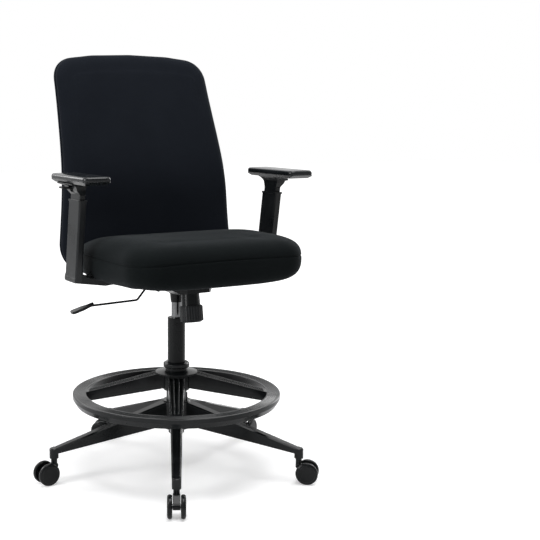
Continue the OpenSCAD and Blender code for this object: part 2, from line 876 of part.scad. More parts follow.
module tension_knob() {
    rib_n = 28;
    rib_r = 1.7;
    body_r = knob_d / 2 - 1;
    color(soft_plastic)
        at_knob()
            difference() {
                union() {
                    cylinder(r1 = body_r - 6, r2 = body_r, h = 4);
                    translate([0, 0, 4])
                        cylinder(r = body_r, h = knob_h - 5);
                    translate([0, 0, knob_h - 1])
                        cylinder(r1 = body_r, r2 = body_r - 1, h = 1);
                    ring_of(rib_n)
                        translate([body_r - 0.7, 0, 4])
                            cylinder(r = rib_r, h = knob_h - 6, $fn = 16);
                }
                translate([0, 0, knob_floor_t])
                    cylinder(r = shroud_r + 0.8, h = knob_h);
                translate([0, 0, 3])
                    cylinder(r = bolt_r + fit_gap, h = knob_h);
            }
}

// The lever's line in (x, z), its bends rounded, each point with the way it runs
lever_path = [
    [0, lever_z], [-wall_x - 13, lever_z], [-wall_x - 47, lever_z - 39.5],
    [-lever_reach + 48, lever_z - 44]];
lever_bend_r = 12;
lever_last = len(lever_path) - 1;
function lever_way(i) = (lever_path[i + 1] - lever_path[i]) / norm(lever_path[i + 1] - lever_path[i]);
function turned(v, a) = [v[0] * cos(a) - v[1] * sin(a), v[0] * sin(a) + v[1] * cos(a)];
function lever_bend(i, steps) =
    let (u = lever_way(i - 1), v = lever_way(i),
         turn = atan2(u[0] * v[1] - u[1] * v[0], u * v),
         start = lever_path[i] - u * lever_bend_r * tan(abs(turn) / 2),
         centre = start + turned(u, sign(turn) * 90) * lever_bend_r)
    [for (k = [0:steps])
        [centre + turned(start - centre, turn * k / steps), turned(u, turn * k / steps)]];
lever_line = concat(
    [[lever_path[0], lever_way(0)]],
    [for (i = [1:lever_last - 1]) each lever_bend(i, 6)],
    [[lever_path[lever_last], lever_way(lever_last - 1)]]);

module height_lever() {
    sides = 16;
    n = len(lever_line);
    ring = [for (p = lever_line, j = [0:sides - 1])
        let (b = 360 * j / sides, up = turned(p[1], 90) * lever_r * cos(b))
        [p[0][0] + up[0], lever_y + lever_r * sin(b), p[0][1] + up[1]]];
    walls = [for (k = [0:n - 2], j = [0:sides - 1])
        [k * sides + j, k * sides + (j + 1) % sides, (k + 1) * sides + (j + 1) % sides, (k + 1) * sides + j]];
    color(black_steel)
        union() {
            polyhedron(
                points = ring,
                faces = concat(walls, [[for (j = [sides - 1:-1:0]) j]],
                               [[for (j = [0:sides - 1]) (n - 1) * sides + j]]));
            translate([-lever_pivot_x, lever_y - 11, lever_z])
                rotate([-90, 0, 0])
                    cylinder(r = 2.5, h = 22);
            // flat that reaches over the release pin
            translate([-10, -6, lever_z - lever_r])
                cube([16, 12 + lever_y + 5, lever_r]);
        }
}

// Flat paddle pushed onto the rod's end
module lever_paddle() {
    root = lever_path[lever_last];
    d = [-lever_reach, lever_z - 58] - root;
    paddle_l = norm(d) + 16;
    way = lever_way(lever_last - 1);
    color(nylon)
        difference() {
            translate([root[0], lever_y, root[1]])
                rotate([0, atan2(d[0], d[1]), 0])
                    translate([0, 0, -16])
                        union() {
                            cylinder(r = lever_r + 2.5, h = 20, $fn = 32);
                            intersection() {
                                translate([-3.5, -13, 8])
                                    cube([7, 26, paddle_l - 8]);
                                translate([-10, 0, 0])
                                    rotate([0, 90, 0])
                                        linear_extrude(20)
                                            polygon([
                                                [-4, -6], [-18, -8], [-34, -13], [-paddle_l + 5, -13],
                                                [-paddle_l, -8],
                                                [-paddle_l, 8], [-paddle_l + 5, 13], [-34, 13],
                                                [-18, 8], [-4, 6]]);
                            }
                        }
            // socket for the rod
            translate([root[0], lever_y, root[1]])
                rotate([0, atan2(way[0], way[1]), 0])
                    translate([0, 0, -60])
                        cylinder(r = lever_r + fit_gap, h = 60);
        }
}

// ---------------------------------------------------------------- seat

plate_front = knob_reach + 48;
plate_back = 132;
plate_half = 100;
seat_bolts = [for (x = [-84, 84], y = [-104, 104]) [x, y]];
back_bolts = [for (x = [-26, 26], y = [96, 120]) [x, y]];
arm_bolts = [for (x = [138, 168], y = [arm_y - 15, arm_y + 15]) [x, y]];

module bolt_holes(points, z, r, h) {
    for (p = points)
        translate([p[0], p[1], z])
            cylinder(r = r, h = h, $fn = 24);
}

module seat_plate() {
    ear_z = pivot_z - 11;
    hook_half = 20;
    hook_len = 26;
    color(black_steel)
        difference() {
            union() {
                translate([0, (plate_back - plate_front) / 2, plate_z])
                    linear_extrude(plate_t)
                        round_rect(2 * plate_half, plate_front + plate_back, 14);
                // ears that turn on the pivot pin
                for (s = [-1, 1])
                    along_x(s > 0 ? flange_x : -flange_x - plate_t, s > 0 ? flange_x + plate_t : -flange_x)
                        polygon([
                            [-pivot_reach - 40, plate_z + 0.5], [-pivot_reach - 18, ear_z],
                            [-pivot_reach + 14, ear_z], [-pivot_reach + 21, plate_z + 0.5]]);
                // hook that lifts the tension bolt
                difference() {
                    translate([-hook_half - plate_t, hook_y - hook_len / 2, hook_z - plate_t])
                        cube([2 * hook_half + 2 * plate_t, hook_len, plate_z - hook_z + plate_t + 0.5]);
                    translate([-hook_half, hook_y - 20, hook_z])
                        cube([2 * hook_half, 40, plate_z - hook_z]);
                    translate([0, hook_y - 1, hook_z - 2 * plate_t])
                        cylinder(r = bolt_r + 3.8, h = 20);
                }
            }
            translate([-flange_x - 10, -pivot_reach, pivot_z])
                rotate([0, 90, 0])
                    cylinder(r = pivot_r + fit_gap, h = 2 * flange_x + 20);
            bolt_holes(seat_bolts, plate_z - overcut, 3 + bolt_gap, plate_t + 2 * overcut);
            bolt_holes(back_bolts, plate_z - overcut, 3 + bolt_gap, plate_t + 2 * overcut);
        }
}

// Outline of the seat from above, drawn in from the cushion's edge by inset
module seat_outline(inset) {
    half = seat_half - inset;
    front = seat_front - inset;
    back = seat_back - inset;
    corner = seat_corner;
    bow_r = (pow(half - corner, 2) + seat_bow * seat_bow) / (2 * seat_bow);
    intersection() {
        hull() {
            for (s = [-1, 1]) {
                translate([s * (half - corner), -front + corner + seat_bow])
                    circle(r = corner, $fn = 48);
                translate([s * (half - 64), back - 50])
                    circle(r = 50, $fn = 32);
                translate([s * (half - 90), 0])
                    circle(r = 90, $fn = 32);
            }
            // bowed front edge between the corners
            intersection() {
                translate([0, -front + bow_r])
                    circle(r = bow_r, $fn = 360);
                translate([corner - half, -front])
                    square([2 * (half - corner), 60]);
            }
        }
        translate([-half, -front])
            square([2 * half, front + back]);
    }
}

module seat_pan() {
    color(nylon)
        difference() {
            translate([0, 0, pan_z])
                linear_extrude(pan_t - 0.2)
                    intersection() {
                        circle(r = pan_side);
                        seat_outline(10);
                    }
            for (s = [-1, 1])
                bolt_holes([for (p = arm_bolts) [s * p[0], p[1]]], pan_z - overcut, 3 + bolt_gap, pan_t - 2);
            bolt_holes(seat_bolts, pan_z - overcut, 3 + bolt_gap, pan_t - 2);
            bolt_holes(back_bolts, pan_z - overcut, 3 + bolt_gap, pan_t - 2);
        }
}

module seat_cushion() {
    top = seat_z + seat_t;
    belt = seat_t - 62;
    // distance from the middle of the seat to the round of a front corner
    reach = norm([seat_half - seat_corner, seat_front - seat_bow - seat_corner]) + seat_corner;
    // half of the front view: inset from the side, height above the cushion's foot
    edge = [[26, 0], [12, 8], [3, 26], [0, belt], [4, seat_t - 42], [16, seat_t - 24],
            [38, seat_t - 11], [76, seat_t - 2], [130, seat_t]];
    // the same at the round of a corner
    corner_edge = [[74, 0], [59, 5], [34, 16], [24, 23], [12, 35], [0, belt], [10, seat_t - 37],
                   [24, seat_t - 25], [41, seat_t - 14], [67, seat_t - 5], [92, seat_t]];
    color(fabric)
        intersection() {
            translate([0, 0, seat_z])
                linear_extrude(seat_t)
                    seat_outline(0);
            // side view: waterfall front, slight dip at the back
            along_x(-seat_half, seat_half)
                polygon([
                    [seat_back, seat_z], [seat_back, top - 26], [seat_back - 90, top - 12], [-60, top - 2],
                    [-seat_front + 125, top], [-seat_front + 62, top - 8], [-seat_front + 24, top - 26],
                    [-seat_front + 4, top - 50], [-seat_front, top - 66], [-seat_front + 6, seat_z + 24],
                    [-seat_front + 20, seat_z + 8], [-seat_front + 44, seat_z]]);
            // front view: rounded edges and a crowned top
            along_y(-seat_front, seat_back)
                polygon(concat(
                    [for (e = edge) [seat_half - e[0], seat_z + e[1]]],
                    [for (i = [len(edge) - 1:-1:0]) [edge[i][0] - seat_half, seat_z + edge[i][1]]]));
            // rounded front corners
            translate([0, 0, seat_z])
                rotate_extrude()
                    polygon(concat([for (e = corner_edge) [reach - e[0], e[1]]], [[0, seat_t], [0, 0]]));
        }
}

// ---------------------------------------------------------------- back

back_top_z = back_z + back_h;

// Middle of the back's thickness at a height above its lowest point
function back_mid(h) = back_y + (h < lumbar_h ? 0 :
    h < lumbar_h + 150 ? tan(back_rake) / 300 * pow(h - lumbar_h, 2) :
    tan(back_rake) * (h - lumbar_h - 75));
back_steps = [0, lumbar_h, lumbar_h + 50, lumbar_h + 100, lumbar_h + 150, back_h];

// Side view of a layer of the back, from depth a to depth b off its middle
module back_side(a, b) {
    polygon(concat(
        [for (h = back_steps) [back_mid(h) + a, back_z + h]],
        [for (i = [len(back_steps) - 1:-1:0]) [back_mid(back_steps[i]) + b, back_z + back_steps[i]]]));
}

// Front view of the back, drawn in by inset
module back_outline(inset) {
    foot_r = 86;
    head_r = 70;
    w0 = back_half - inset;
    w1 = back_half_top - inset;
    hull() {
        for (s = [-1, 1]) {
            translate([s * (w0 - foot_r), back_z + inset + foot_r + 14])
                circle(r = foot_r, $fn = 48);
            translate([s * (w0 - 122), back_z + inset + lumbar_h])
                circle(r = 108, $fn = 48);
            translate([s * (w1 - head_r), back_top_z - inset - head_r - 12])
                circle(r = head_r, $fn = 48);
            translate([s * (w1 - 120), back_top_z - inset - 44])
                circle(r = 40, $fn = 32);
        }
        translate([0, back_z + inset + 10])
            circle(r = 10, $fn = 24);
        translate([0, back_top_z - inset - 20])
            circle(r = 20, $fn = 24);
    }
}

module back_layer(a, b, inset) {
    intersection() {
        along_x(-back_half, back_half) back_side(a, b);
        along_y(back_y - 60, back_y + 260) back_outline(inset);
    }
}

// Puts a child at each bolt of the shell, pointing back
module at_shell_bolts(y) {
    for (z = [back_z + 95, back_z + 165], x = [-26, 26])
        translate([x, y, z])
            rotate([-90, 0, 0])
                children();
}

module back_shell() {
    color(nylon)
        difference() {
            back_layer(-3, shell_t - 3, 16);
            at_shell_bolts(shell_y - overcut)
                cylinder(r = 3 + bolt_gap, h = shell_t, $fn = 24);
        }
}

module back_cushion() {
    color(fabric)
        difference() {
            back_layer(-back_t / 2, -3.2, 0);
            // the bracket comes in here, under the level of the seat
            translate([-bracket_w / 2 - 2, bracket_y - head_h - 1, back_z - overcut])
                cube([bracket_w + 4, 24, 206]);
            translate([-bracket_w / 2 - 2, back_y - back_t, back_z - overcut])
                cube([bracket_w + 4, back_t, plate_z - back_z + 6]);
        }
}

module back_rear_cushion() {
    color(fabric)
        back_layer(shell_t - 2.8, back_t / 2, 0);
}

// Steel bar from under the seat plate up into the back
module back_bracket() {
    upright_top = back_z + 200;
    color(black_steel)
        difference() {
            union() {
                along_x(-bracket_w / 2, bracket_w / 2)
                    polygon([
                        [82, plate_z - bracket_t], [bracket_y + bracket_t, plate_z - bracket_t],
                        [bracket_y + bracket_t, upright_top], [bracket_y, upright_top],
                        [bracket_y, plate_z], [82, plate_z]]);
                // gussets in the corner
                for (x = [-bracket_w / 2, bracket_w / 2 - 4])
                    along_x(x, x + 4)
                        polygon([
                            [plate_back + 4, plate_z - bracket_t + 0.5],
                            [bracket_y + bracket_t, plate_z - bracket_t + 0.5],
                            [bracket_y + bracket_t, plate_z - bracket_t - 6],
                            [plate_back + 14, plate_z - bracket_t - 6]]);
            }
            bolt_holes(back_bolts, plate_z - bracket_t - overcut, 3 + bolt_gap, bracket_t + 2 * overcut);
            at_shell_bolts(bracket_y - overcut)
                cylinder(r = 3 + bolt_gap, h = bracket_t + 2 * overcut, $fn = 24);
        }
}

// Hexagon-head bolt, standing on its head
module bolt(length) {
    union() {
        cylinder(r = 6, h = head_h, $fn = 6);
        translate([0, 0, head_h - 0.1])
            cylinder(r = 3, h = length + 0.1, $fn = 24);
    }
}

module frame_bolts() {
    color(steel) {
        for (p = seat_bolts)
            translate([p[0], p[1], plate_z - head_h - fit_gap]) bolt(plate_t + pan_t - 5);
        for (p = back_bolts)
            translate([p[0], p[1], plate_z - bracket_t - head_h - fit_gap])
                bolt(bracket_t + plate_t + pan_t - 5);
        for (s = [-1, 1])
            for (p = arm_bolts)
                translate([s * p[0], p[1], pan_z - 0.5 - bar_t - head_h - fit_gap]) bolt(bar_t + pan_t - 4);
        at_shell_bolts(bracket_y - head_h - fit_gap)
            bolt(bracket_t + shell_t - 3);
    }
}

// ---------------------------------------------------------------- arms

elbow_half = sleeve_t / 2 + 0.5;
elbow_low = seat_z - 21;
elbow_out = seat_z - 8;
bend_x = arm_x - 58;
elbow_slope = (elbow_out - elbow_low) / (sleeve_t / 2 + 78);

// Puts a child into the frame of the leaning sleeve
module in_sleeve() {
    translate([arm_x, arm_y, arm_foot_z])
        rotate([arm_lean, 0, 0])
            children();
}

// Level slab between two heights, wide enough for a leaning sleeve
module level_slab(z0, z1) {
    translate([arm_x - 50, arm_y - 200, z0])
        cube([100, 400, z1 - z0]);
}

// Front view of the steel bar, grown by c
function bar_outline(c) = [
    [bar_inner_x - c, pan_z - 0.5 - bar_t - c], [bend_x + c, pan_z - 0.5 - bar_t - c],
    [arm_x + heel_t / 2 + c, pan_z - 0.5 - bar_t - c + elbow_slope * (arm_x + heel_t / 2 - bend_x)],
    [arm_x + heel_t / 2 + c, arm_foot_z + 12 + c], [arm_x - heel_t / 2 - c, arm_foot_z + 12 + c],
    [arm_x - heel_t / 2 - c, pan_z - 0.5 + c + elbow_slope * (arm_x - heel_t / 2 - bend_x)],
    [bend_x - c, pan_z - 0.5 + c], [bar_inner_x - c, pan_z - 0.5 + c]];

module arm_bracket(s) {
    color(black_steel)
        side(s)
            difference() {
                union() {
                    along_y(arm_y - bar_w / 2, arm_y + bar_w / 2)
                        polygon(bar_outline(0));
                    in_sleeve()
                        translate([-upright_t / 2, -upright_w / 2, 2])
                            cube([upright_t, upright_w, upright_h]);
                }
                bolt_holes(arm_bolts, pan_z - 20, 3 + bolt_gap, 30);
            }
}

// Moulded cover: the elbow under the seat and the sleeve that the post slides in
module arm_sleeve(s) {
    rim_h = 5;
    rim = 1.6;
    color(soft_plastic)
        side(s)
            difference() {
                union() {
                    // leaning sleeve and its rim, each cut level at its ends
                    intersection() {
                        in_sleeve()
                            translate([0, 0, -30])
                                linear_extrude(sleeve_h + 60)
                                    round_rect(sleeve_t, sleeve_w, 5);
                        level_slab(elbow_out, sleeve_top_z);
                    }
                    intersection() {
                        in_sleeve()
                            translate([0, 0, sleeve_h - 30])
                                linear_extrude(60)
                                    round_rect(sleeve_t + 2 * rim, sleeve_w + 2 * rim, 5);
                        level_slab(sleeve_top_z - rim_h, sleeve_top_z);
                    }
                    along_y(arm_y - sleeve_w / 2 + 1.2, arm_y + sleeve_w / 2 + 1.2)
                        polygon([
                            [arm_x + elbow_half, arm_foot_z + 4], [arm_x + elbow_half, elbow_out + 3],
                            [arm_x + elbow_half - 3, elbow_out], [arm_x - 78, elbow_low],
                            [arm_x - 113, elbow_low + 3], [arm_x - 117, elbow_low + 5],
                            [arm_x - 117, pan_z - move_gap], [pan_side + 1, pan_z - move_gap],
                            [pan_side + 1, seat_z - move_gap], [seat_half - 28, seat_z - move_gap],
                            [arm_x - 34, pan_z + 15], [arm_x - 22, pan_z + 19], [arm_x - 13, pan_z + 28],
                            [arm_x - elbow_half, pan_z + 46], [arm_x, pan_z + 46]]);
                }
                in_sleeve()
                    translate([0, 0, 14])
                        linear_extrude(sleeve_h + 20)
                            round_rect(sleeve_t - 2 * sleeve_wall, sleeve_w - 2 * sleeve_wall, 2.5);
                in_sleeve()
                    translate([-upright_t / 2 - move_gap, -upright_w / 2 - move_gap, -2])
                        cube([upright_t + 2 * move_gap, upright_w + 2 * move_gap, 30]);
                along_y(arm_y - bar_w / 2 - move_gap, arm_y + bar_w / 2 + move_gap)
                    polygon(bar_outline(move_gap));
            }
}

// Sliding post: hollow shank, then a neck that flares out under the pad
module arm_post(s) {
    neck_z = sleeve_top_z + 6;
    flare_out = 30;
    head_half = 52;
    color(soft_plastic)
        side(s)
            difference() {
                union() {
                    in_sleeve()
                        translate([0, 0, post_foot])
                            linear_extrude(sleeve_h - post_foot + 18)
                                round_rect(post_t, post_w, 3);
                    // flared neck, seen from the side and from the front
                    intersection() {
                        along_x(arm_x - 40, arm_x + 60)
                            polygon([
                                [sleeve_top_y - post_w / 2 + 1, neck_z],
                                [sleeve_top_y + post_w / 2 - 3, neck_z],
                                [sleeve_top_y + post_w / 2 - 3, neck_z + 8],
                                [sleeve_top_y + post_w / 2 + 1, pad_z - 16],
                                [sleeve_top_y + head_half - 10, pad_z - 6],
                                [sleeve_top_y + head_half, pad_z],
                                [sleeve_top_y - head_half, pad_z],
                                [sleeve_top_y - head_half + 12, pad_z - 7],
                                [sleeve_top_y - post_w / 2 - 6, pad_z - 18],
                                [sleeve_top_y - post_w / 2 - 1, neck_z + 8]]);
                        along_y(sleeve_top_y - 70, sleeve_top_y + 70)
                            polygon([
                                [arm_x - post_t / 2, neck_z], [arm_x + post_t / 2, neck_z],
                                [arm_x + post_t / 2, neck_z + 8], [arm_x + post_t / 2 + 9, pad_z - 20],
                                [arm_x + post_t / 2 + 14, pad_z - 8],
                                [arm_x + post_t / 2 + flare_out, pad_z - 3],
                                [arm_x + post_t / 2 + flare_out, pad_z], [arm_x - post_t / 2 - 8, pad_z],
                                [arm_x - post_t / 2 - 4, pad_z - 5], [arm_x - post_t / 2, pad_z - 12]]);
                    }
                }
                in_sleeve()
                    translate([-upright_t / 2 - move_gap, -upright_w / 2 - 1, post_foot - overcut])
                        cube([upright_t + 2 * move_gap, upright_w + 2, upright_h - post_foot + 6]);
                // pocket and hinge hole of the trigger
                translate([arm_x + post_t / 2 + 4, sleeve_top_y - 12, pad_z - 30])
                    cube([60, 24, 27]);
                translate([trigger_x, sleeve_top_y - 15, trigger_z])
                    rotate([-90, 0, 0])
                        cylinder(r = trigger_pin_r + fit_gap, h = 30, $fn = 24);
            }
}

// Finger trigger on the outer side of the neck
module arm_trigger(s) {
    reach = 36;
    root_x = trigger_x - 3;
    top = pad_z - 9;
    color(nylon)
        side(s)
            union() {
                along_y(sleeve_top_y - 11, sleeve_top_y + 11)
                    polygon([
                        [root_x, top - 2.5], [root_x + 3, top], [root_x + 12, top - 1.5],
                        [root_x + reach - 3, top + 0.5],
                        [root_x + reach, top - 1], [root_x + reach, top - 4], [root_x + reach - 3, top - 5],
                        [root_x + 12, top - 6.5], [root_x + 3, top - 9], [root_x, top - 7.5]]);
                // hinge stubs
                translate([trigger_x, sleeve_top_y - 14.5, trigger_z])
                    rotate([-90, 0, 0])
                        cylinder(r = trigger_pin_r, h = 29, $fn = 24);
            }
}

// Chamfered hard base of the pad
module arm_pad_base(s) {
    chamfer = 9;
    color(soft_plastic)
        side(s)
            translate([pad_x, pad_y, pad_z])
                intersection() {
                    linear_extrude(pad_base_t)
                        round_rect(pad_w, pad_l, 16);
                    along_y(-pad_l, pad_l)
                        polygon([
                            [-pad_w / 2 + chamfer, 0], [pad_w / 2 - chamfer, 0], [pad_w / 2, chamfer],
                            [pad_w / 2, pad_base_t],
                            [-pad_w / 2, pad_base_t], [-pad_w / 2, chamfer]]);
                    along_x(-pad_w, pad_w)
                        polygon([
                            [-pad_l / 2 + 2 * chamfer, 0], [pad_l / 2 - 2 * chamfer, 0],
                            [pad_l / 2, chamfer],
                            [pad_l / 2, pad_base_t], [-pad_l / 2, pad_base_t], [-pad_l / 2, chamfer]]);
                }
}

// Soft top of the pad
module arm_pad(s) {
    bevel = 2.5;
    color(nylon)
        side(s)
            translate([pad_x, pad_y, pad_z + pad_base_t])
                intersection() {
                    linear_extrude(pad_t)
                        round_rect(pad_w, pad_l, 16);
                    along_y(-pad_l, pad_l)
                        polygon([
                            [-pad_w / 2, 0], [pad_w / 2, 0], [pad_w / 2, pad_t - bevel],
                            [pad_w / 2 - bevel, pad_t],
                            [-pad_w / 2 + bevel, pad_t], [-pad_w / 2, pad_t - bevel]]);
                    along_x(-pad_w, pad_w)
                        polygon([
                            [-pad_l / 2, 0], [pad_l / 2, 0], [pad_l / 2, pad_t - bevel],
                            [pad_l / 2 - bevel, pad_t],
                            [-pad_l / 2 + bevel, pad_t], [-pad_l / 2, pad_t - bevel]]);
                }
}

// ---------------------------------------------------------------- casters

// Puts a child at a caster's stem, with -Y pointing the way the wheels trail
module at_caster(i) {
    rotate([0, 0, caster_angle(i)])
        translate([0, -base_r, 0])
            rotate([0, 0, caster_swivels[i]])
                children();
}

// Swivel stem and axle: two steel pins
module caster_pins(i) {
    axle_half = wheel_x + wheel_w - 4;
    color(steel)
        at_caster(i) {
            translate([0, 0, socket_z - 12])
                cylinder(r = stem_d / 2, h = stem_h + 12, $fn = 32);
            translate([0, -caster_trail, caster_axle_z])
                rotate([0, 90, 0])
                    cylinder(r = axle_d / 2, h = 2 * axle_half, center = true, $fn = 32);
        }
}

module caster_body(i) {
    neck_r = caster_neck_d / 2;
    knuckle_r = wheel_d * 0.145;
    top_z = socket_z - 1.5;
    color(nylon)
        at_caster(i)
            difference() {
                union() {
                    translate([0, 0, caster_axle_z + 12])
                        cylinder(r = neck_r, h = top_z - caster_axle_z - 12);
                    along_x(-caster_body_w / 2, caster_body_w / 2)
                        polygon([
                            [neck_r * 0.5, caster_axle_z + 12], [neck_r * 0.9, caster_axle_z + 17],
                            [neck_r * 0.9, caster_axle_z + 24], [-neck_r, caster_axle_z + 24],
                            [-caster_trail - knuckle_r * 0.3, caster_axle_z + knuckle_r * 0.95],
                            [-caster_trail - knuckle_r * 0.95, caster_axle_z + knuckle_r * 0.3],
                            [-caster_trail + knuckle_r * 0.3, caster_axle_z - knuckle_r * 0.95]]);
                    translate([-caster_body_w / 2, -caster_trail, caster_axle_z])
                        rotate([0, 90, 0])
                            cylinder(r = knuckle_r, h = caster_body_w);
                }
                translate([0, 0, socket_z - 12])
                    cylinder(r = stem_d / 2, h = 20, $fn = 32);
                translate([-50, -caster_trail, caster_axle_z])
                    rotate([0, 90, 0])
                        cylinder(r = axle_d / 2, h = 100, $fn = 32);
            }
}

// Half section of a wheel: distance along the axle, then radius
module wheel_profile() {
    r = wheel_d / 2;
    bore = axle_d / 2 + fit_gap;
    depth = wheel_w - 3.5;
    hub_r = axle_d / 2 + 4;
    polygon([
        [bore, -0.9], [hub_r, -0.9], [hub_r, 4], [r - 7, 4], [r - 7, 0.8], [r - 3, 0],
        [r - 0.8, 2], [r, 5], [r, wheel_w - 5.5], [r - 1.2, wheel_w - 2.4], [r - 4, wheel_w - 0.6],
        [r - 6.5, wheel_w], [r - 7.5, wheel_w - 1], [r - 8.5, wheel_w - 0.3], [0.01, wheel_w + 0.3],
        [0.01, depth], [bore, depth]]);
}

module caster_wheel(i, s) {
    color(nylon)
        at_caster(i)
            translate([s * wheel_x, -caster_trail, caster_axle_z])
                rotate([0, s * 90, 0])
                    rotate_extrude() wheel_profile();
}

// ---------------------------------------------------------------- assembly

star_base();
column_tube();
column_bushing();
thrust_bearing();
piston_rod();
gas_cylinder();
release_pin();
foot_ring();
foot_ring_collet();
foot_ring_collar();
tilt_housing();
tilt_pivot_pin();
spring_shroud();
tension_spring();
tension_bolt();
tension_knob();
height_lever();
lever_paddle();
seat_plate();
seat_pan();
seat_cushion();
back_bracket();
back_shell();
back_cushion();
back_rear_cushion();
frame_bolts();
arm_bracket(1);  // arm_bracket_left
arm_bracket(-1);  // arm_bracket_right
arm_sleeve(1);  // arm_sleeve_left
arm_sleeve(-1);  // arm_sleeve_right
arm_post(1);  // arm_post_left
arm_post(-1);  // arm_post_right
arm_trigger(1);  // arm_trigger_left
arm_trigger(-1);  // arm_trigger_right
arm_pad_base(1);  // arm_pad_base_left
arm_pad_base(-1);  // arm_pad_base_right
arm_pad(1);  // arm_pad_left
arm_pad(-1);  // arm_pad_right
for (i = [1:5]) {
    caster_pins(i - 1);
    caster_body(i - 1);
    caster_wheel(i - 1, 1);
    caster_wheel(i - 1, -1);
}
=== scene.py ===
"""Looks for the drafting chair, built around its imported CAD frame. Metres; the chair faces -Y."""

import json
import math

import bmesh
import bpy
import numpy as np
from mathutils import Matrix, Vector


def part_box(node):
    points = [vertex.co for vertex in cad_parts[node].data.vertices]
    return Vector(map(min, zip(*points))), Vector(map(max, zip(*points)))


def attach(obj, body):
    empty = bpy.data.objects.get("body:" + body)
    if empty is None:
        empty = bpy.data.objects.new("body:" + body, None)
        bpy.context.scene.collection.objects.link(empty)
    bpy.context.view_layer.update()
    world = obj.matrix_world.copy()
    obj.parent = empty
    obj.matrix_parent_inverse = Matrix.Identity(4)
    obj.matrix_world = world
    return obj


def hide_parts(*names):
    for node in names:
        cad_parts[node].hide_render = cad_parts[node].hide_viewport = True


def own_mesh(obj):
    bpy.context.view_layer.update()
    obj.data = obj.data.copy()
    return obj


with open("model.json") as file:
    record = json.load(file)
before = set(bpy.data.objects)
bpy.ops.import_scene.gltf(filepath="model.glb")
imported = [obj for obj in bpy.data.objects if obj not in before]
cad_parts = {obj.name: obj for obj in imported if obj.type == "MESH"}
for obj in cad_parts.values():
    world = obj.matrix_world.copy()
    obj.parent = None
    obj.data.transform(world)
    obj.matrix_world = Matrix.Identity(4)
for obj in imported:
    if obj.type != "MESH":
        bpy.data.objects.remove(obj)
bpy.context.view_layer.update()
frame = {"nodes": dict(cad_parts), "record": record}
NODES = frame["nodes"]
scene = bpy.context.scene


# ------------------------------------------------------------------ node helpers

# cosine between the true and the rounded normal, where an edge begins to show and where it is full
EDGE_STARTS, EDGE_FULL = 0.995, 0.86


class Nodes:
    """A node tree under construction: makes nodes and joins sockets or plain values."""

    def __init__(self, tree):
        self.tree = tree

    def add(self, kind, **settings):
        made = self.tree.nodes.new(kind)
        for key, value in settings.items():
            setattr(made, key, value)
        return made

    def put(self, value, socket):
        if isinstance(value, bpy.types.NodeSocket):
            self.tree.links.new(value, socket)
        else:
            socket.default_value = value

    def calc(self, operation, *values):
        made = self.add("ShaderNodeMath", operation=operation)
        for value, socket in zip(values, made.inputs):
            self.put(value, socket)
        return made.outputs[0]

    def span(self, value, low, high, to_low, to_high, **settings):
        """The value with its range low to high carried over to to_low to to_high."""
        made = self.add("ShaderNodeMapRange", **settings)
        for socket, setting in zip(made.inputs, (value, low, high, to_low, to_high)):
            self.put(setting, socket)
        return made.outputs[0]

    def background_share(self, mirrored):
        """1 where the camera or glass sees a white background, mirrored where a polished part does."""
        rays = self.add("ShaderNodeLightPath").outputs
        glossy = self.calc("MULTIPLY", rays["Is Glossy Ray"], mirrored)
        seen = self.calc("MAXIMUM", rays["Is Camera Ray"], glossy)
        return self.calc("MAXIMUM", seen, rays["Is Transmission Ray"])


class Shader(Nodes):
    """A material under construction, on one Principled shader."""

    def __init__(self, name):
        self.material = bpy.data.materials.new(name)
        self.material.use_nodes = True
        super().__init__(self.material.node_tree)
        self.bsdf = self.tree.nodes["Principled BSDF"]
        self.object_space = self.add("ShaderNodeTexCoord").outputs["Object"]

    def noise(self, scale, detail=2.0, stretch=(1, 1, 1)):
        mapping = self.add("ShaderNodeMapping")
        mapping.inputs["Scale"].default_value = stretch
        self.put(self.object_space, mapping.inputs["Vector"])
        made = self.add("ShaderNodeTexNoise")
        made.inputs["Scale"].default_value = scale
        made.inputs["Detail"].default_value = detail
        self.put(mapping.outputs["Vector"], made.inputs["Vector"])
        return made.outputs["Fac"]

    def mix(self, share, colour_a, colour_b):
        made = self.add("ShaderNodeMix", data_type="RGBA")
        self.put(share, made.inputs["Factor"])
        self.put((*colour_a, 1), made.inputs["A"])
        self.put((*colour_b, 1), made.inputs["B"])
        return made.outputs["Result"]

    def bump(self, height, strength, distance, normal=None):
        """Normal bent by height, on top of the given normal if there is one."""
        made = self.add("ShaderNodeBump")
        made.inputs["Strength"].default_value = strength
        made.inputs["Distance"].default_value = distance
        self.put(height, made.inputs["Height"])
        if normal is not None:
            self.put(normal, made.inputs["Normal"])
        return made.outputs["Normal"]

    def rounded(self, radius):
        """Normal with its hard edges rounded by radius, and a mask of those edges."""
        made = self.add("ShaderNodeBevel", samples=6)
        made.inputs["Radius"].default_value = radius
        dot = self.add("ShaderNodeVectorMath", operation="DOT_PRODUCT")
        self.put(made.outputs["Normal"], dot.inputs[0])
        self.put(self.add("ShaderNodeNewGeometry").outputs["Normal"], dot.inputs[1])
        edges = self.span(dot.outputs["Value"], EDGE_STARTS, EDGE_FULL, 0.0, 1.0)
        return made.outputs["Normal"], edges

    def finish(self, colour, roughness, normal, **sockets):
        self.put(colour, self.bsdf.inputs["Base Color"])
        self.put(roughness, self.bsdf.inputs["Roughness"])
        self.put(normal, self.bsdf.inputs["Normal"])
        for key, value in sockets.items():
            self.bsdf.inputs[key.replace("_", " ")].default_value = value
        return self.material


# ------------------------------------------------------------------ materials

WEAVE_PITCH = 0.0016
THREAD_SHARE, SLUB_SHARE = 0.55, 0.45
CLOTH_BUMP = 0.0004
PLASTIC_BUMP = 0.00025
METAL_BUMP = 0.0003
METAL_EDGE = 0.0006


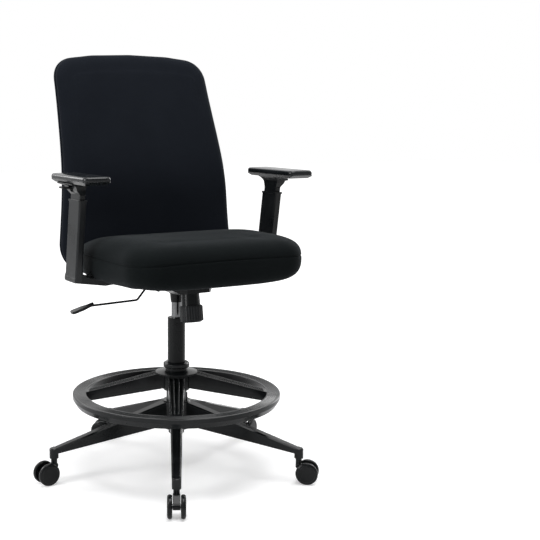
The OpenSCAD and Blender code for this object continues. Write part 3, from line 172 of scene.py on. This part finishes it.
def cloth(name, dark, light):
    """Tight plain weave, drawn on the three axis planes and mixed by the surface's direction."""
    s = Shader(name)
    turns = math.pi / WEAVE_PITCH
    where = s.add("ShaderNodeSeparateXYZ")
    s.put(s.object_space, where.inputs[0])
    facing = s.add("ShaderNodeSeparateXYZ")
    s.put(s.add("ShaderNodeTexCoord").outputs["Normal"], facing.inputs[0])
    waves = [s.calc("SINE", s.calc("MULTIPLY", axis, turns)) for axis in where.outputs]
    weights = [s.calc("POWER", s.calc("ABSOLUTE", axis), 4.0) for axis in facing.outputs]
    total = s.calc("ADD", s.calc("ADD", weights[0], weights[1]), weights[2])
    layers = []
    for i, weight in enumerate(weights):
        crossing = s.calc("MULTIPLY", waves[(i + 1) % 3], waves[(i + 2) % 3])
        layers.append(s.calc("MULTIPLY", weight, crossing))
    weave = s.calc("DIVIDE", s.calc("ADD", s.calc("ADD", layers[0], layers[1]), layers[2]), total)
    threads = s.span(weave, -1.0, 1.0, 0.0, 1.0)
    slubs = s.noise(900, 3.0)
    drift = s.noise(9, 2.0)
    share = s.calc("ADD", s.calc("MULTIPLY", threads, THREAD_SHARE), s.calc("MULTIPLY", slubs, SLUB_SHARE))
    share = s.calc("MULTIPLY", share, s.span(drift, 0.3, 0.7, 0.75, 1.1))
    height = s.calc("ADD", threads, s.calc("MULTIPLY", slubs, 0.8))
    return s.finish(
        s.mix(share, dark, light),
        s.span(slubs, 0.3, 0.7, 0.82, 0.95),
        s.bump(height, 0.35, CLOTH_BUMP),
        Specular_IOR_Level=0.05,
        Sheen_Weight=0.04,
        Sheen_Roughness=0.45,
        Sheen_Tint=(0.86, 0.92, 1.0, 1.0),
    )


def plastic(name, colour, flow_and_edge_highlight, rough, depth, grain=1400, edge=0.0009, level=0.2):
    """Moulded plastic: fine grain, slight flow marks, smoother edges, and a painted highlight that makes
    the edges paler.
    """
    s = Shader(name)
    normal, edges = s.rounded(edge)
    fine = s.noise(grain, 2.0)
    broad = s.noise(14, 3.0)
    # painted highlight: the rounded edges are mixed towards the paler colour, on top of the random
    # flow-mark tone
    tone = s.calc("ADD", s.span(broad, 0.35, 0.65, 0.0, 0.12), s.calc("MULTIPLY", edges, 0.65))
    level_rough = s.span(broad, 0.3, 0.7, rough - 0.03, rough + 0.05)
    return s.finish(
        s.mix(tone, colour, flow_and_edge_highlight),
        s.calc("SUBTRACT", level_rough, s.calc("MULTIPLY", edges, 0.06)),
        s.bump(fine, depth, PLASTIC_BUMP, normal),
        Specular_IOR_Level=level,
    )


def metal(name, colour, marks_and_edge_highlight, rough, scale, stretch=(1, 1, 1), metallic=1.0, depth=0.06, **sockets):
    """Steel: coated, or brushed with fine marks across the direction of the stretch, with a painted
    highlight that makes its edges paler.
    """
    s = Shader(name)
    normal, edges = s.rounded(METAL_EDGE)
    marks = s.noise(scale, 3.0, stretch)
    broad = s.noise(11, 2.0)
    # painted highlight: the rounded edges are mixed towards the paler colour, as are the brushed marks
    tone = s.calc("ADD", s.calc("MULTIPLY", marks, 0.6), s.calc("MULTIPLY", edges, 0.4))
    return s.finish(
        s.mix(tone, colour, marks_and_edge_highlight),
        s.span(broad, 0.3, 0.7, rough - 0.03, rough + 0.06),
        s.bump(marks, depth, METAL_BUMP, normal),
        Metallic=metallic,
        **sockets,
    )


SEAT_CLOTH = cloth("seat_cloth", (0.0020, 0.0030, 0.0033), (0.0080, 0.0102, 0.0106))
BACK_CLOTH = cloth("back_cloth", (0.0027, 0.0036, 0.0060), (0.0100, 0.0124, 0.0170))
NYLON = plastic("nylon_black", (0.0045, 0.0054, 0.0059), (0.050, 0.054, 0.057), 0.21, 0.06, edge=0.0012)
HOUSING_PLASTIC = plastic(
    "moulded_black", (0.0060, 0.0072, 0.0082), (0.050, 0.054, 0.058), 0.28, 0.15, level=0.25
)
PAD_SKIN = plastic(
    "pad_skin", (0.0068, 0.0082, 0.0095), (0.050, 0.054, 0.058), 0.2, 0.08, grain=700, level=0.3
)
WHEEL_PLASTIC = plastic(
    "wheel_black", (0.0042, 0.0048, 0.0052), (0.055, 0.058, 0.060), 0.16, 0.05, edge=0.0012
)
BLACK_STEEL = metal(
    "powder_coat",
    (0.0034, 0.0040, 0.0044),
    (0.0088, 0.0096, 0.0102),
    0.25,
    900,
    metallic=0.0,
    depth=0.2,
    Specular_IOR_Level=0.16,
)
BRIGHT_STEEL = metal("bright_steel", (0.42, 0.43, 0.44), (0.58, 0.59, 0.60), 0.28, 60, (1, 1, 30))
CHROME = metal("chrome", (0.13, 0.132, 0.135), (0.21, 0.212, 0.217), 0.14, 40, (1, 1, 40), depth=0.03)

BY_SLOT = {
    "nylon": NYLON,
    "moulded_plastic": HOUSING_PLASTIC,
    "wheel_plastic": WHEEL_PLASTIC,
    "soft_pad": PAD_SKIN,
    "black_steel": BLACK_STEEL,
    "bright_steel": BRIGHT_STEEL,
    "chrome": CHROME,
    "upholstery": SEAT_CLOTH,
}

for part in frame["record"]["subparts"]:
    shown = NODES[part["node"]]
    shown.data.materials.clear()
    shown.data.materials.append(BY_SLOT[part["material_slot"]])


# ------------------------------------------------------------------ mesh helpers

CLOTH_PRESSURE = 4.0
CLOTH_FRAMES = 20
CREASE_ROUNDS = 16
CORNER_STEPS = 8


def place(name, mesh, material, body, slot, *replaced):
    """A smooth-shaded piece in the scene that rides on body and stands for the replaced nodes."""
    piece = bpy.data.objects.new(name, mesh)
    scene.collection.objects.link(piece)
    mesh.materials.clear()
    mesh.materials.append(material)
    mesh.polygons.foreach_set("use_smooth", [True] * len(mesh.polygons))
    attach(piece, body)
    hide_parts(*replaced)
    return piece


def points_of(mesh):
    co = np.empty(len(mesh.vertices) * 3)
    mesh.vertices.foreach_get("co", co)
    return co.reshape(-1, 3)


def normals_of(mesh):
    out = np.empty(len(mesh.vertices) * 3)
    mesh.vertices.foreach_get("normal", out)
    return out.reshape(-1, 3)


def set_points(mesh, co):
    mesh.vertices.foreach_set("co", co.ravel())
    mesh.update()


def subdivided(mesh):
    """The mesh after one round of subdivision."""
    holder = bpy.data.objects.new("holder", mesh)
    scene.collection.objects.link(holder)
    modifier = holder.modifiers.new("SUBSURF", "SUBSURF")
    modifier.levels = 1
    modifier.render_levels = 1
    graph = bpy.context.evaluated_depsgraph_get()
    out = bpy.data.meshes.new_from_object(holder.evaluated_get(graph), depsgraph=graph)
    bpy.data.objects.remove(holder)
    return out


def evened(mesh, values, rounds, push_back=0.0):
    """One vector per point, evened out over the mesh; push_back near 1 undoes most of the shrinking."""
    ends = np.empty(len(mesh.edges) * 2, dtype=np.int64)
    mesh.edges.foreach_get("vertices", ends)
    a, b = ends.reshape(-1, 2).T
    size = len(values)
    count = np.bincount(a, minlength=size) + np.bincount(b, minlength=size)
    for _ in range(rounds):
        for share in (0.5, -0.5 * push_back):
            if share:
                total = np.empty_like(values)
                for k in range(3):
                    total[:, k] = np.bincount(a, values[b, k], minlength=size)
                    total[:, k] += np.bincount(b, values[a, k], minlength=size)
                values = values + share * (total / count[:, None] - values)
    return values


def inflated(mesh, pinned, cap):
    """Cloth under pressure, with some points pinned and no point moved inwards or further than cap."""
    holder = bpy.data.objects.new("inflating", mesh)
    scene.collection.objects.link(holder)
    group = holder.vertex_groups.new(name="pin")
    group.add([int(i) for i in np.flatnonzero(pinned)], 1.0, "REPLACE")
    sim = holder.modifiers.new("Cloth", "CLOTH")
    settings = sim.settings
    settings.quality = 5
    settings.mass = 0.3
    settings.use_pressure = True
    settings.uniform_pressure_force = CLOTH_PRESSURE
    settings.tension_stiffness = 15
    settings.compression_stiffness = 15
    settings.shear_stiffness = 5
    settings.bending_stiffness = 0.5
    settings.vertex_group_mass = "pin"
    settings.effector_weights.gravity = 0
    sim.collision_settings.use_collision = False
    before, outward = points_of(mesh), normals_of(mesh)
    for f in range(1, CLOTH_FRAMES + 1):
        scene.frame_set(f)
    graph = bpy.context.evaluated_depsgraph_get()
    settled = bpy.data.meshes.new_from_object(holder.evaluated_get(graph), depsgraph=graph)
    step = points_of(settled) - before
    step -= outward * np.minimum((step * outward).sum(1, keepdims=True), 0)
    length = np.linalg.norm(step, axis=1, keepdims=True)
    step *= np.minimum(1.0, cap / np.maximum(length, 1e-9))
    # foam behind the cloth keeps it from creasing
    step = evened(settled, step, CREASE_ROUNDS) * ~pinned[:, None]
    scene.frame_set(1)
    bpy.data.objects.remove(holder)
    set_points(settled, before + step)
    return settled


def ease(value, low, high):
    """0 at low, 1 at high and a smooth step between them."""
    share = np.clip((value - low) / (high - low), 0, 1)
    return share * share * (3 - 2 * share)


def bell(distance, width):
    """1 at no distance, falling to about a third at width."""
    return np.exp(-((distance / width) ** 2))


def ring_mesh(name, loops):
    """Mesh through closed loops of equal length, with one face over each end."""
    bm = bmesh.new()
    rows = [[bm.verts.new(p) for p in loop] for loop in loops]
    n = len(rows[0])
    for low, high in zip(rows, rows[1:]):
        for i in range(n):
            bm.faces.new((low[i], low[(i + 1) % n], high[(i + 1) % n], high[i]))
    bm.faces.new(list(reversed(rows[0])))
    bm.faces.new(rows[-1])
    mesh = bpy.data.meshes.new(name)
    bmesh.ops.recalc_face_normals(bm, faces=bm.faces)
    bm.to_mesh(mesh)
    bm.free()
    return mesh


def rounded_loop(width, length, radius):
    """Rounded rectangle about the origin, as (x, y) points."""
    out = []
    for cx, cy, start in ((1, 1, 0), (-1, 1, 90), (-1, -1, 180), (1, -1, 270)):
        for k in range(CORNER_STEPS + 1):
            a = math.radians(start + 90 * k / CORNER_STEPS)
            x = cx * (width / 2 - radius) + radius * math.cos(a)
            y = cy * (length / 2 - radius) + radius * math.sin(a)
            out.append((x, y))
    return out


# ------------------------------------------------------------------ outlines and grids

OUTLINE_STEPS = 1600
ROUND_OFF, PUSH_BACK = 0.5, -0.515


def outline_of(points):
    """Convex outline of flat points, anticlockwise."""
    points = sorted({(round(float(a), 5), round(float(b), 5)) for a, b in points})

    def turns_right(a, b, c):
        return (b[0] - a[0]) * (c[1] - a[1]) <= (b[1] - a[1]) * (c[0] - a[0])

    def half(run):
        out = []
        for p in run:
            while len(out) > 1 and turns_right(out[-2], out[-1], p):
                out.pop()
            out.append(p)
        return out[:-1]

    return np.array(half(points) + half(points[::-1]))


def walked(points):
    """A closed outline walked in equal steps."""
    closed = np.vstack([points, points[:1]])
    run = np.concatenate([[0], np.cumsum(np.linalg.norm(np.diff(closed, axis=0), axis=1))])
    at = np.linspace(0, run[-1], OUTLINE_STEPS, endpoint=False)
    return np.stack([np.interp(at, run, closed[:, k]) for k in range(2)], 1)


def rounded_off(loop, rounds):
    """The outline with its corners evened out, pushed back each round so that it keeps its size."""
    for _ in range(rounds):
        for share in (ROUND_OFF, PUSH_BACK):
            loop = loop + share * ((np.roll(loop, 1, 0) + np.roll(loop, -1, 0)) / 2 - loop)
    return loop


def side_loop(fine, counts):
    """The outline as four sides from corner to corner, each in equal steps."""
    centre = (fine.min(0) + fine.max(0)) / 2
    way = (fine - centre) / (fine.max(0) - fine.min(0))
    corners = [int(np.argmax(way @ np.array(c))) for c in ((-1, -1), (1, -1), (1, 1), (-1, 1))]
    out = []
    for k, steps in enumerate(counts):
        first, last = corners[k], corners[(k + 1) % 4]
        if last <= first:
            last += len(fine)
        at = np.linspace(first, last, steps, endpoint=False)
        index = np.floor(at).astype(int)
        part = (at - index)[:, None]
        out.append(fine[index % len(fine)] * (1 - part) + fine[(index + 1) % len(fine)] * part)
    return np.vstack(out)


def patch(loop, nx, nz):
    """Grid that fills a loop of nx + nz + nx + nz points; its border is the loop."""
    bottom = loop[: nx + 1]
    right = loop[nx : nx + nz + 1]
    top = loop[nx + nz : 2 * nx + nz + 1][::-1]
    left = np.vstack([loop[2 * nx + nz :], loop[:1]])[::-1]
    u = np.linspace(0, 1, nx + 1)[None, :, None]
    v = np.linspace(0, 1, nz + 1)[:, None, None]
    sides = (1 - v) * bottom[None] + v * top[None] + (1 - u) * left[:, None] + u * right[:, None]
    ends = (1 - u) * (1 - v) * loop[0] + u * (1 - v) * loop[nx]
    ends = ends + u * v * loop[nx + nz] + (1 - u) * v * loop[2 * nx + nz]
    return sides - ends


def quads_between(rows, around):
    """Faces between rows of points, each row a closed loop of the same length."""
    faces = []
    for k in range(rows - 1):
        for i in range(around):
            j = (i + 1) % around
            faces.append((k * around + i, k * around + j, (k + 1) * around + j, (k + 1) * around + i))
    return faces


def patch_quads(border, base, nx, nz, flip):
    """Faces of a patch whose inner points start at base and whose border loop starts at border."""
    around = 2 * (nx + nz)

    def index(i, j):
        if 0 < i < nz and 0 < j < nx:
            return base + (i - 1) * (nx - 1) + j - 1
        if i == 0:
            return border + j
        if j == nx:
            return border + nx + i
        if i == nz:
            return border + nx + nz + (nx - j)
        return border + (2 * nx + nz + (nz - i)) % around

    quads = []
    for i in range(nz):
        for j in range(nx):
            quads.append((index(i, j), index(i, j + 1), index(i + 1, j + 1), index(i + 1, j)))
    return [q[::-1] for q in quads] if flip else quads


def closed_mesh(name, verts, faces):
    """Mesh of the points and faces, with every face turned outwards."""
    mesh = bpy.data.meshes.new(name)
    mesh.from_pydata([tuple(map(float, p)) for p in verts], [], faces)
    bm = bmesh.new()
    bm.from_mesh(mesh)
    bmesh.ops.recalc_face_normals(bm, faces=bm.faces)
    bm.to_mesh(mesh)
    bm.free()
    return mesh


# ------------------------------------------------------------------ seat cushion

seat_low, seat_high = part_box("seat_cushion")
SEAM_Z = seat_high.z - 0.044
BELT_Z = seat_low.z + 0.053
SX, SY = 54, 46  # steps along the seat's front and sides
SEAT_AROUND = 2 * (SX + SY)
SEAT_CAP = 0.006
BELLY = 0.0075
SIDE_FULL, SIDE_FULL_AT = 0.004, 0.03  # how much fuller the sides are, and at which Y most
SEAT_ROUNDS = 160
UNDER_ARC, CROWN_ARC = (9, 2.6), (13, 3.0)  # steps of the arc, and how squared off it is
UNDER_DRAWN_IN, FRONT_DRAWN_IN, CROWN_DRAWN_IN = 0.07, 0.15, 0.35
UNDER_HELD = 0.012
CROWN_GAP = 0.0015  # below the solid's top
REAR_FALL, FALL_FROM, FALL_OVER, FALL_POWER = 0.026, -0.10, 0.246, 1.7
SEAM_CUTS = (-0.004, -0.0015, 0.0, 0.0015, 0.004)
SEAM_DEPTH, SEAM_WIDTH, SEAM_HELD = 0.0024, 0.0017, 0.0045
SEAM_FALL = 0.008
EVEN_ROUNDS, EVEN_PUSH_BACK = 4, 1.02


def seam_drop(co):
    """How far the sewn line round the seat lies below its level at the middle."""
    return SEAM_FALL * np.clip(np.abs(co[:, 0]) / seat_high.x, 0, 1) ** 2


def cut_level(mesh, heights, shift):
    """Cut edge loops through the mesh at heights, measured after shift is added to each point.

    Returns each point's height with its shift added.
    """
    co = points_of(mesh)
    co[:, 2] += shift(co)
    set_points(mesh, co)
    bm = bmesh.new()
    bm.from_mesh(mesh)
    for z in heights:
        everything = bm.verts[:] + bm.edges[:] + bm.faces[:]
        bmesh.ops.bisect_plane(bm, geom=everything, dist=2e-4, plane_co=(0, 0, z), plane_no=(0, 0, 1))
    bm.to_mesh(mesh)
    bm.free()
    co = points_of(mesh)
    level = co[:, 2].copy()
    co[:, 2] -= shift(co)
    set_points(mesh, co)
    return level


def belly(flat):
    """How far the foam hangs below the pan, where it reaches past the pan and ahead of the arms."""
    x, ahead = np.abs(flat[:, 0]), -flat[:, 1]
    past = np.maximum(ease(x, 0.207, 0.232), ease(ahead, 0.207, 0.240))
    clear = np.maximum(ease(ahead, 0.035, 0.075), 0.5 * ease(x, 0.236, 0.250))
    front_corner = ease(x, 0.10, 0.262) * ease(ahead, 0.16, 0.298)
    return BELLY * past * clear * (1 - 0.95 * front_corner)


def seat_form():
    """The cushion as loops from its underside, round the belt, up to its crowned top."""
    co = points_of(NODES["seat_cushion"].data)
    fine = rounded_off(walked(outline_of(co[:, :2])), SEAT_ROUNDS)
    rim = side_loop(fine, (SX, SY, SX, SY))
    full = SIDE_FULL * bell(rim[:, 1] - SIDE_FULL_AT, 0.09) * ease(np.abs(rim[:, 0]), 0.2, 0.25)
    rim[:, 0] += np.sign(rim[:, 0]) * full
    centre = np.array([0.0, (rim[:, 1].min() + rim[:, 1].max()) / 2])
    front = ease(-rim[:, 1], -0.02, 0.20)
    low_share = UNDER_DRAWN_IN + FRONT_DRAWN_IN * front
    loops = []

    def level_loop(share, height, arc, top):
        """A loop drawn in by share of the way to the middle, arc of the height above or below the belt."""
        flat = centre + (rim - centre) * (1 - share)[:, None]
        if top:
            sink = REAR_FALL * np.clip((flat[:, 1] - FALL_FROM) / FALL_OVER, 0, None) ** FALL_POWER
            z = BELT_Z + (height - sink) * arc
        else:
            z = BELT_Z - (height + belly(flat)) * arc
        return np.column_stack([flat, z])

    def arcs(steps, power):
        """How far across and how far up a squared-off quarter arc is, step by step."""
        for k in range(steps + 1):
            a = math.pi / 2 * k / steps
            yield math.cos(a) ** (2 / power), math.sin(a) ** (2 / power)

    for across, up in reversed(list(arcs(*UNDER_ARC))):
        loops.append(level_loop(low_share * (1 - across), BELT_Z - seat_low.z, up, False))
    for across, up in list(arcs(*CROWN_ARC))[1:]:
        drawn_in = np.full(len(rim), CROWN_DRAWN_IN * (1 - across))
        loops.append(level_loop(drawn_in, seat_high.z - BELT_Z - CROWN_GAP, up, True))

    verts = [p for loop in loops for p in loop]
    faces = quads_between(len(loops), SEAT_AROUND)
    for row, under in ((0, True), (len(loops) - 1, False)):
        inner = patch(loops[row], SX, SY)[1:-1, 1:-1].reshape(-1, 3)
        if under:
            inner[:, 2] = seat_low.z - belly(inner)
        faces += patch_quads(row * SEAT_AROUND, len(verts), SX, SY, under)
        verts += list(inner)
    return closed_mesh("seat_cushion", verts, faces)


def build_seat():
    mesh = seat_form()
    co = points_of(mesh)
    under = co[:, 2] < seat_low.z + UNDER_HELD
    seam = np.abs(co[:, 2] + seam_drop(co) - SEAM_Z) < SEAM_HELD
    side = np.abs(normals_of(mesh)[:, 2]) < 0.93
    mesh = inflated(mesh, under | (seam & side), SEAT_CAP)
    set_points(mesh, evened(mesh, points_of(mesh), EVEN_ROUNDS, EVEN_PUSH_BACK))
    mesh = subdivided(mesh)
    level = cut_level(mesh, [SEAM_Z + dz for dz in SEAM_CUTS], seam_drop)
    co, nrm = points_of(mesh), normals_of(mesh)
    sides = np.clip(1.4 - 1.4 * np.abs(nrm[:, 2]), 0, 1)
    co -= nrm * (SEAM_DEPTH * bell(level - SEAM_Z, SEAM_WIDTH) * sides)[:, None]
    co[:, 2] = np.maximum(co[:, 2], seat_low.z + 0.0003 - belly(co))
    set_points(mesh, co)
    piece = place("seat_upholstery", mesh, SEAT_CLOTH, "seat", "upholstery", "seat_cushion")


# ------------------------------------------------------------------ back

NX, NZ = 44, 56  # steps across and up the back
BACK_AROUND = 2 * (NX + NZ)
BACK_CAP = 0.004
BACK_FULL = 0.0225  # from the seam to the face
BACK_SEAM = 0.0003
BACK_WIDENED = (1.022, 1)
BACK_ROUNDS = 120
CORNER_PUSH, CORNER_POWER = 0.016, 5
FACE_POWER = 2.5
SHELL_RIM = 0.016  # beyond this inset the cushion lies against its shell
NOTCH_RISE, NOTCH_DEPTH = 0.0225, 0.0145
BEND_STEP, BEND_PAST, BEND_REACH, BEND_WIDTH = 0.005, 0.2, 26, 9.0
SLOPE_OVER = 0.15
FACE_INSETS = (0.0, 0.0007, 0.002, 0.0042, 0.0075, 0.012, 0.018, 0.025, 0.034, 0.044)
BACK_INSETS = (0.0, 0.006, 0.0145, 0.0175, 0.030, 0.044)


def back_form(node, toward, core, soft):
    """One cushion of the back, from the seam at mid depth out to its face, and which points stay put.

    toward is -1 for the front cushion, which is notched round the bracket, and 1 for the rear one.
    core is the depth of its inner side, and soft is how far in from the seam its face is still rounded.
    """
    notched = toward < 0
    co = points_of(NODES[node].data)
    outline = outline_of(co[:, (0, 2)]) * BACK_WIDENED
    fine = rounded_off(walked(outline), BACK_ROUNDS)
    # fuller top corners
    out = np.abs(fine[:, 0]) / fine[:, 0].max()
    middle_z = (fine[:, 1].min() + fine[:, 1].max()) / 2
    up = np.clip((fine[:, 1] - middle_z) / (fine[:, 1].max() - middle_z), 0, 1)
    push = CORNER_PUSH * (out * up) ** CORNER_POWER
    fine = fine + np.stack([np.sign(fine[:, 0]) * push, push], 1)
    levels, where = np.unique(np.round(co[:, 2], 4), return_inverse=True)
    face = np.full(len(levels), np.inf)
    np.minimum.at(face, where, co[:, 1] * -toward)
    middle = face * -toward - toward * BACK_FULL
    heights = np.arange(levels[0] - BEND_PAST, levels[-1] + BEND_PAST, BEND_STEP)
    line = np.interp(heights, levels, middle)
    slope = (middle[-1] - np.interp(levels[-1] - SLOPE_OVER, levels, middle)) / SLOPE_OVER
    line = np.where(heights > levels[-1], middle[-1] + slope * (heights - levels[-1]), line)
    # one long bend in place of the solid's short facets
    reach = np.arange(-BEND_REACH, BEND_REACH + 1)
    kernel = np.exp(-0.5 * (reach / BEND_WIDTH) ** 2)
    line = np.convolve(np.pad(line, BEND_REACH, "edge"), kernel / kernel.sum(), "valid")

    step = np.roll(fine, -1, 0) - np.roll(fine, 1, 0)
    outward = np.stack([step[:, 1], -step[:, 0]], 1) / np.linalg.norm(step, axis=1, keepdims=True)

    def inset_loop(inset):
        return side_loop(fine - outward * inset, (NX, NZ, NX, NZ))

    def placed(flat, depth):
        """Flat points on the bent middle of the back, at depth from it, with the notch at the bottom."""
        x, z = flat[:, 0], flat[:, 1].copy()
        if notched:
            beside = 1 - ease(np.abs(x), 0.045, 0.062)
            z += NOTCH_RISE * beside * (1 - ease(z, levels[0] + 0.012, levels[0] + 0.075))
        return np.stack([x, np.interp(z, heights, line) + toward * depth, z], 1)

    loops, free = [], []
    for inset in reversed(BACK_INSETS[1:]):
        depth = core if inset > SHELL_RIM else BACK_SEAM
        loops.append(placed(inset_loop(inset), np.full(BACK_AROUND, depth)))
        free.append(False)
    for inset in FACE_INSETS:
        share = min(inset / soft, 1.0)
        risen = (1 - (1 - share) ** FACE_POWER) ** (1 / FACE_POWER)
        depth = BACK_SEAM + (BACK_FULL - BACK_SEAM) * risen
        loops.append(placed(inset_loop(inset), np.full(BACK_AROUND, depth)))
        free.append(inset > 0.001)

    verts = [p for loop in loops for p in loop]
    movable = [f for f in free for _ in range(BACK_AROUND)]
    faces = quads_between(len(loops), BACK_AROUND)
    inner = patch(inset_loop(FACE_INSETS[-1]), NX, NZ)[1:-1, 1:-1].reshape(-1, 2)
    for row, inside in ((0, True), (len(loops) - 1, False)):
        depth = np.full(len(inner), core if inside else BACK_FULL)
        if inside and notched:
            beside = 1 - ease(np.abs(inner[:, 0]), 0.044, 0.054)
            beside *= 1 - ease(inner[:, 1], levels[0] + 0.206, levels[0] + 0.222)
            depth += (NOTCH_DEPTH - core) * beside
        faces += patch_quads(row * BACK_AROUND, len(verts), NX, NZ, inside)
        verts += list(placed(inner, depth))
        movable += [not inside] * len(inner)
    return closed_mesh(node, verts, faces), ~np.array(movable)


def build_back():
    for name, node, toward, core, soft, fill in (
        ("back_front_upholstery", "back_cushion", -1, 0.0032, 0.028, 0.85),
        ("back_rear_upholstery", "back_rear_cushion", 1, 0.0075, 0.025, 0.8),
    ):
        mesh, held = back_form(node, toward, core, soft)
        mesh = inflated(mesh, held, BACK_CAP)
        mesh = subdivided(mesh)
        piece = place(name, mesh, BACK_CLOTH, "seat", "upholstery", node)


# ------------------------------------------------------------------ arm pads

PAD_CORNER, PAD_LEAST_CORNER = 0.016, 0.003


def build_arm_pads():
    """Both pads as loops from the underside up, each loop drawn in by its inset at its height."""
    for side in ("left", "right"):
        node = "arm_pad_" + side
        low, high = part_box(node)
        middle = (low + high) / 2
        width, length, height = high - low
        levels = [
            (0.0008, 0.0),
            (0.0, 0.0012),
            (0.0, height - 0.0052),
            (0.0008, height - 0.003),
            (0.0026, height - 0.0012),
            (0.0052, height - 0.0002),
            (0.010, height + 0.0005),
            (0.020, height + 0.0012),
            (0.034, height + 0.0015),
        ]
        loops = []
        for inset, z in levels:
            radius = max(PAD_CORNER - inset, PAD_LEAST_CORNER)
            outline = rounded_loop(width - 2 * inset, length - 2 * inset, radius)
            loops.append([(middle.x + x, middle.y + y, low.z + z) for x, y in outline])
        mesh = ring_mesh(node, loops)
        piece = place("arm_pad_skin_" + side, mesh, PAD_SKIN, "arm_" + side, "soft_pad", node)


# ------------------------------------------------------------------ tension spring

SPRING_LEAN = math.radians(9)
SPRING_FOOT = Vector((0, -0.092, 0.447))
SPRING_START, SPRING_END = 0.0103, 0.0742  # along its axis from its foot
SPRING_TURNS, COIL_RADIUS, WIRE_RADIUS = 7, 0.0165, 0.0025
TURN_STEPS, WIRE_SIDES = 28, 12


def build_spring():
    axis = Vector((0, math.sin(SPRING_LEAN), math.cos(SPRING_LEAN)))
    side = Vector((1, 0, 0))
    across = axis.cross(side).normalized()
    loops = []
    count = SPRING_TURNS * TURN_STEPS
    for k in range(count + 1):
        a = 2 * math.pi * k / TURN_STEPS
        out = side * math.cos(a) + across * math.sin(a)
        rise = SPRING_START + (SPRING_END - SPRING_START) * k / count
        centre = SPRING_FOOT + axis * rise + out * COIL_RADIUS
        loop = []
        for j in range(WIRE_SIDES):
            b = 2 * math.pi * j / WIRE_SIDES
            loop.append(centre + out * WIRE_RADIUS * math.cos(b) + axis * WIRE_RADIUS * math.sin(b))
        loops.append(loop)
    mesh = ring_mesh("tension_coil", loops)
    piece = place("tension_coil", mesh, BRIGHT_STEEL, "lift", "bright_steel", "tension_spring")
    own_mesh(piece)


# ------------------------------------------------------------------ stage

FLOOR_HALF = 14.0
FLOOR_MIRRORED = 0.3  # how brightly polished parts see the floor's own glow
GLOW_NEAR, GLOW_FAR = 0.40, 1.0
GLOW_FROM, GLOW_TO = 0.8, 3.5
WORLD_LIGHT = 0.24
ROOM_AHEAD, ROOM_ELSEWHERE = 0.35, 1.0
ROOM_FROM, ROOM_TO = -0.75, 0.05
LAMP_AIM = (0, 0, 0.6)


def build_floor():
    h = FLOOR_HALF
    mesh = bpy.data.meshes.new("floor")
    mesh.from_pydata([(-h, -h, 0), (h, -h, 0), (h, h, 0), (-h, h, 0)], [], [(0, 1, 2, 3)])
    floor = bpy.data.objects.new("floor", mesh)
    scene.collection.objects.link(floor)
    s = Shader("floor_paper")
    s.bsdf.inputs["Base Color"].default_value = (0.8, 0.8, 0.805, 1)
    s.bsdf.inputs["Roughness"].default_value = 0.9
    s.bsdf.inputs["Specular IOR Level"].default_value = 0.1
    # the paper runs out to plain white well away from the object
    reach = s.add("ShaderNodeVectorMath", operation="LENGTH")
    s.put(s.object_space, reach.inputs[0])
    far = s.span(reach.outputs["Value"], GLOW_FROM, GLOW_TO, GLOW_NEAR, GLOW_FAR)
    glow = s.add("ShaderNodeEmission")
    s.put(s.calc("MULTIPLY", s.background_share(FLOOR_MIRRORED), far), glow.inputs["Strength"])
    both = s.add("ShaderNodeAddShader")
    s.put(s.bsdf.outputs[0], both.inputs[0])
    s.put(glow.outputs[0], both.inputs[1])
    s.put(both.outputs[0], s.tree.nodes["Material Output"].inputs["Surface"])
    mesh.materials.append(s.material)


def build_world():
    world = bpy.data.worlds.new("studio")
    scene.world = world
    world.use_nodes = True
    w = Nodes(world.node_tree)
    back = w.tree.nodes["Background"]
    back.inputs["Color"].default_value = (1, 1, 1, 1)
    # polished parts see the open, darker room in front of the chair and white paper on the other sides
    way = w.add("ShaderNodeSeparateXYZ")
    w.put(w.add("ShaderNodeTexCoord").outputs["Generated"], way.inputs[0])
    room = w.span(
        way.outputs["Y"], ROOM_FROM, ROOM_TO, ROOM_AHEAD, ROOM_ELSEWHERE, interpolation_type="SMOOTHSTEP"
    )
    strength = w.calc("MAXIMUM", WORLD_LIGHT, w.background_share(room))
    w.put(strength, back.inputs["Strength"])


def softbox(name, place_at, width, height, power):
    """A rectangular lamp that points at the middle of the chair."""
    lamp = bpy.data.lights.new(name, "AREA")
    lamp.shape = "RECTANGLE"
    lamp.size = width
    lamp.size_y = height
    lamp.energy = power
    holder = bpy.data.objects.new(name, lamp)
    scene.collection.objects.link(holder)
    holder.location = place_at
    way = Vector(LAMP_AIM) - Vector(place_at)
    holder.rotation_euler = way.to_track_quat("-Z", "Y").to_euler()


def build_lights():
    softbox("overhead", (0.1, -0.5, 3.3), 2.2, 2.2, 95)
    softbox("side_left", (-2.7, -0.2, 1.5), 0.8, 2.0, 42)
    softbox("back_left", (-1.6, 2.6, 1.9), 1.2, 1.6, 30)
    softbox("side_right", (2.6, 1.0, 1.6), 0.9, 2.0, 34)


# where the photograph was taken from, by the perspective fit: the turn is about the upright
CAMERA_PLACE = (-1.415, -2.653, 1.026)
CAMERA_DOWN, CAMERA_TURN = 8.447, -28.07
CAMERA_LENS, CAMERA_SHIFT = 72.39, 0.1735


def build_camera():
    data = bpy.data.cameras.new("camera")
    camera = bpy.data.objects.new("camera", data)
    scene.collection.objects.link(camera)
    camera.location = CAMERA_PLACE
    camera.rotation_euler = (math.radians(90 - CAMERA_DOWN), 0, math.radians(CAMERA_TURN))
    data.lens = CAMERA_LENS
    data.sensor_width = 36
    data.shift_x = CAMERA_SHIFT
    scene.camera = camera


build_camera()
build_floor()
build_world()
build_lights()
build_seat()
build_back()
build_arm_pads()
build_spring()

scene.view_settings.view_transform = "Standard"
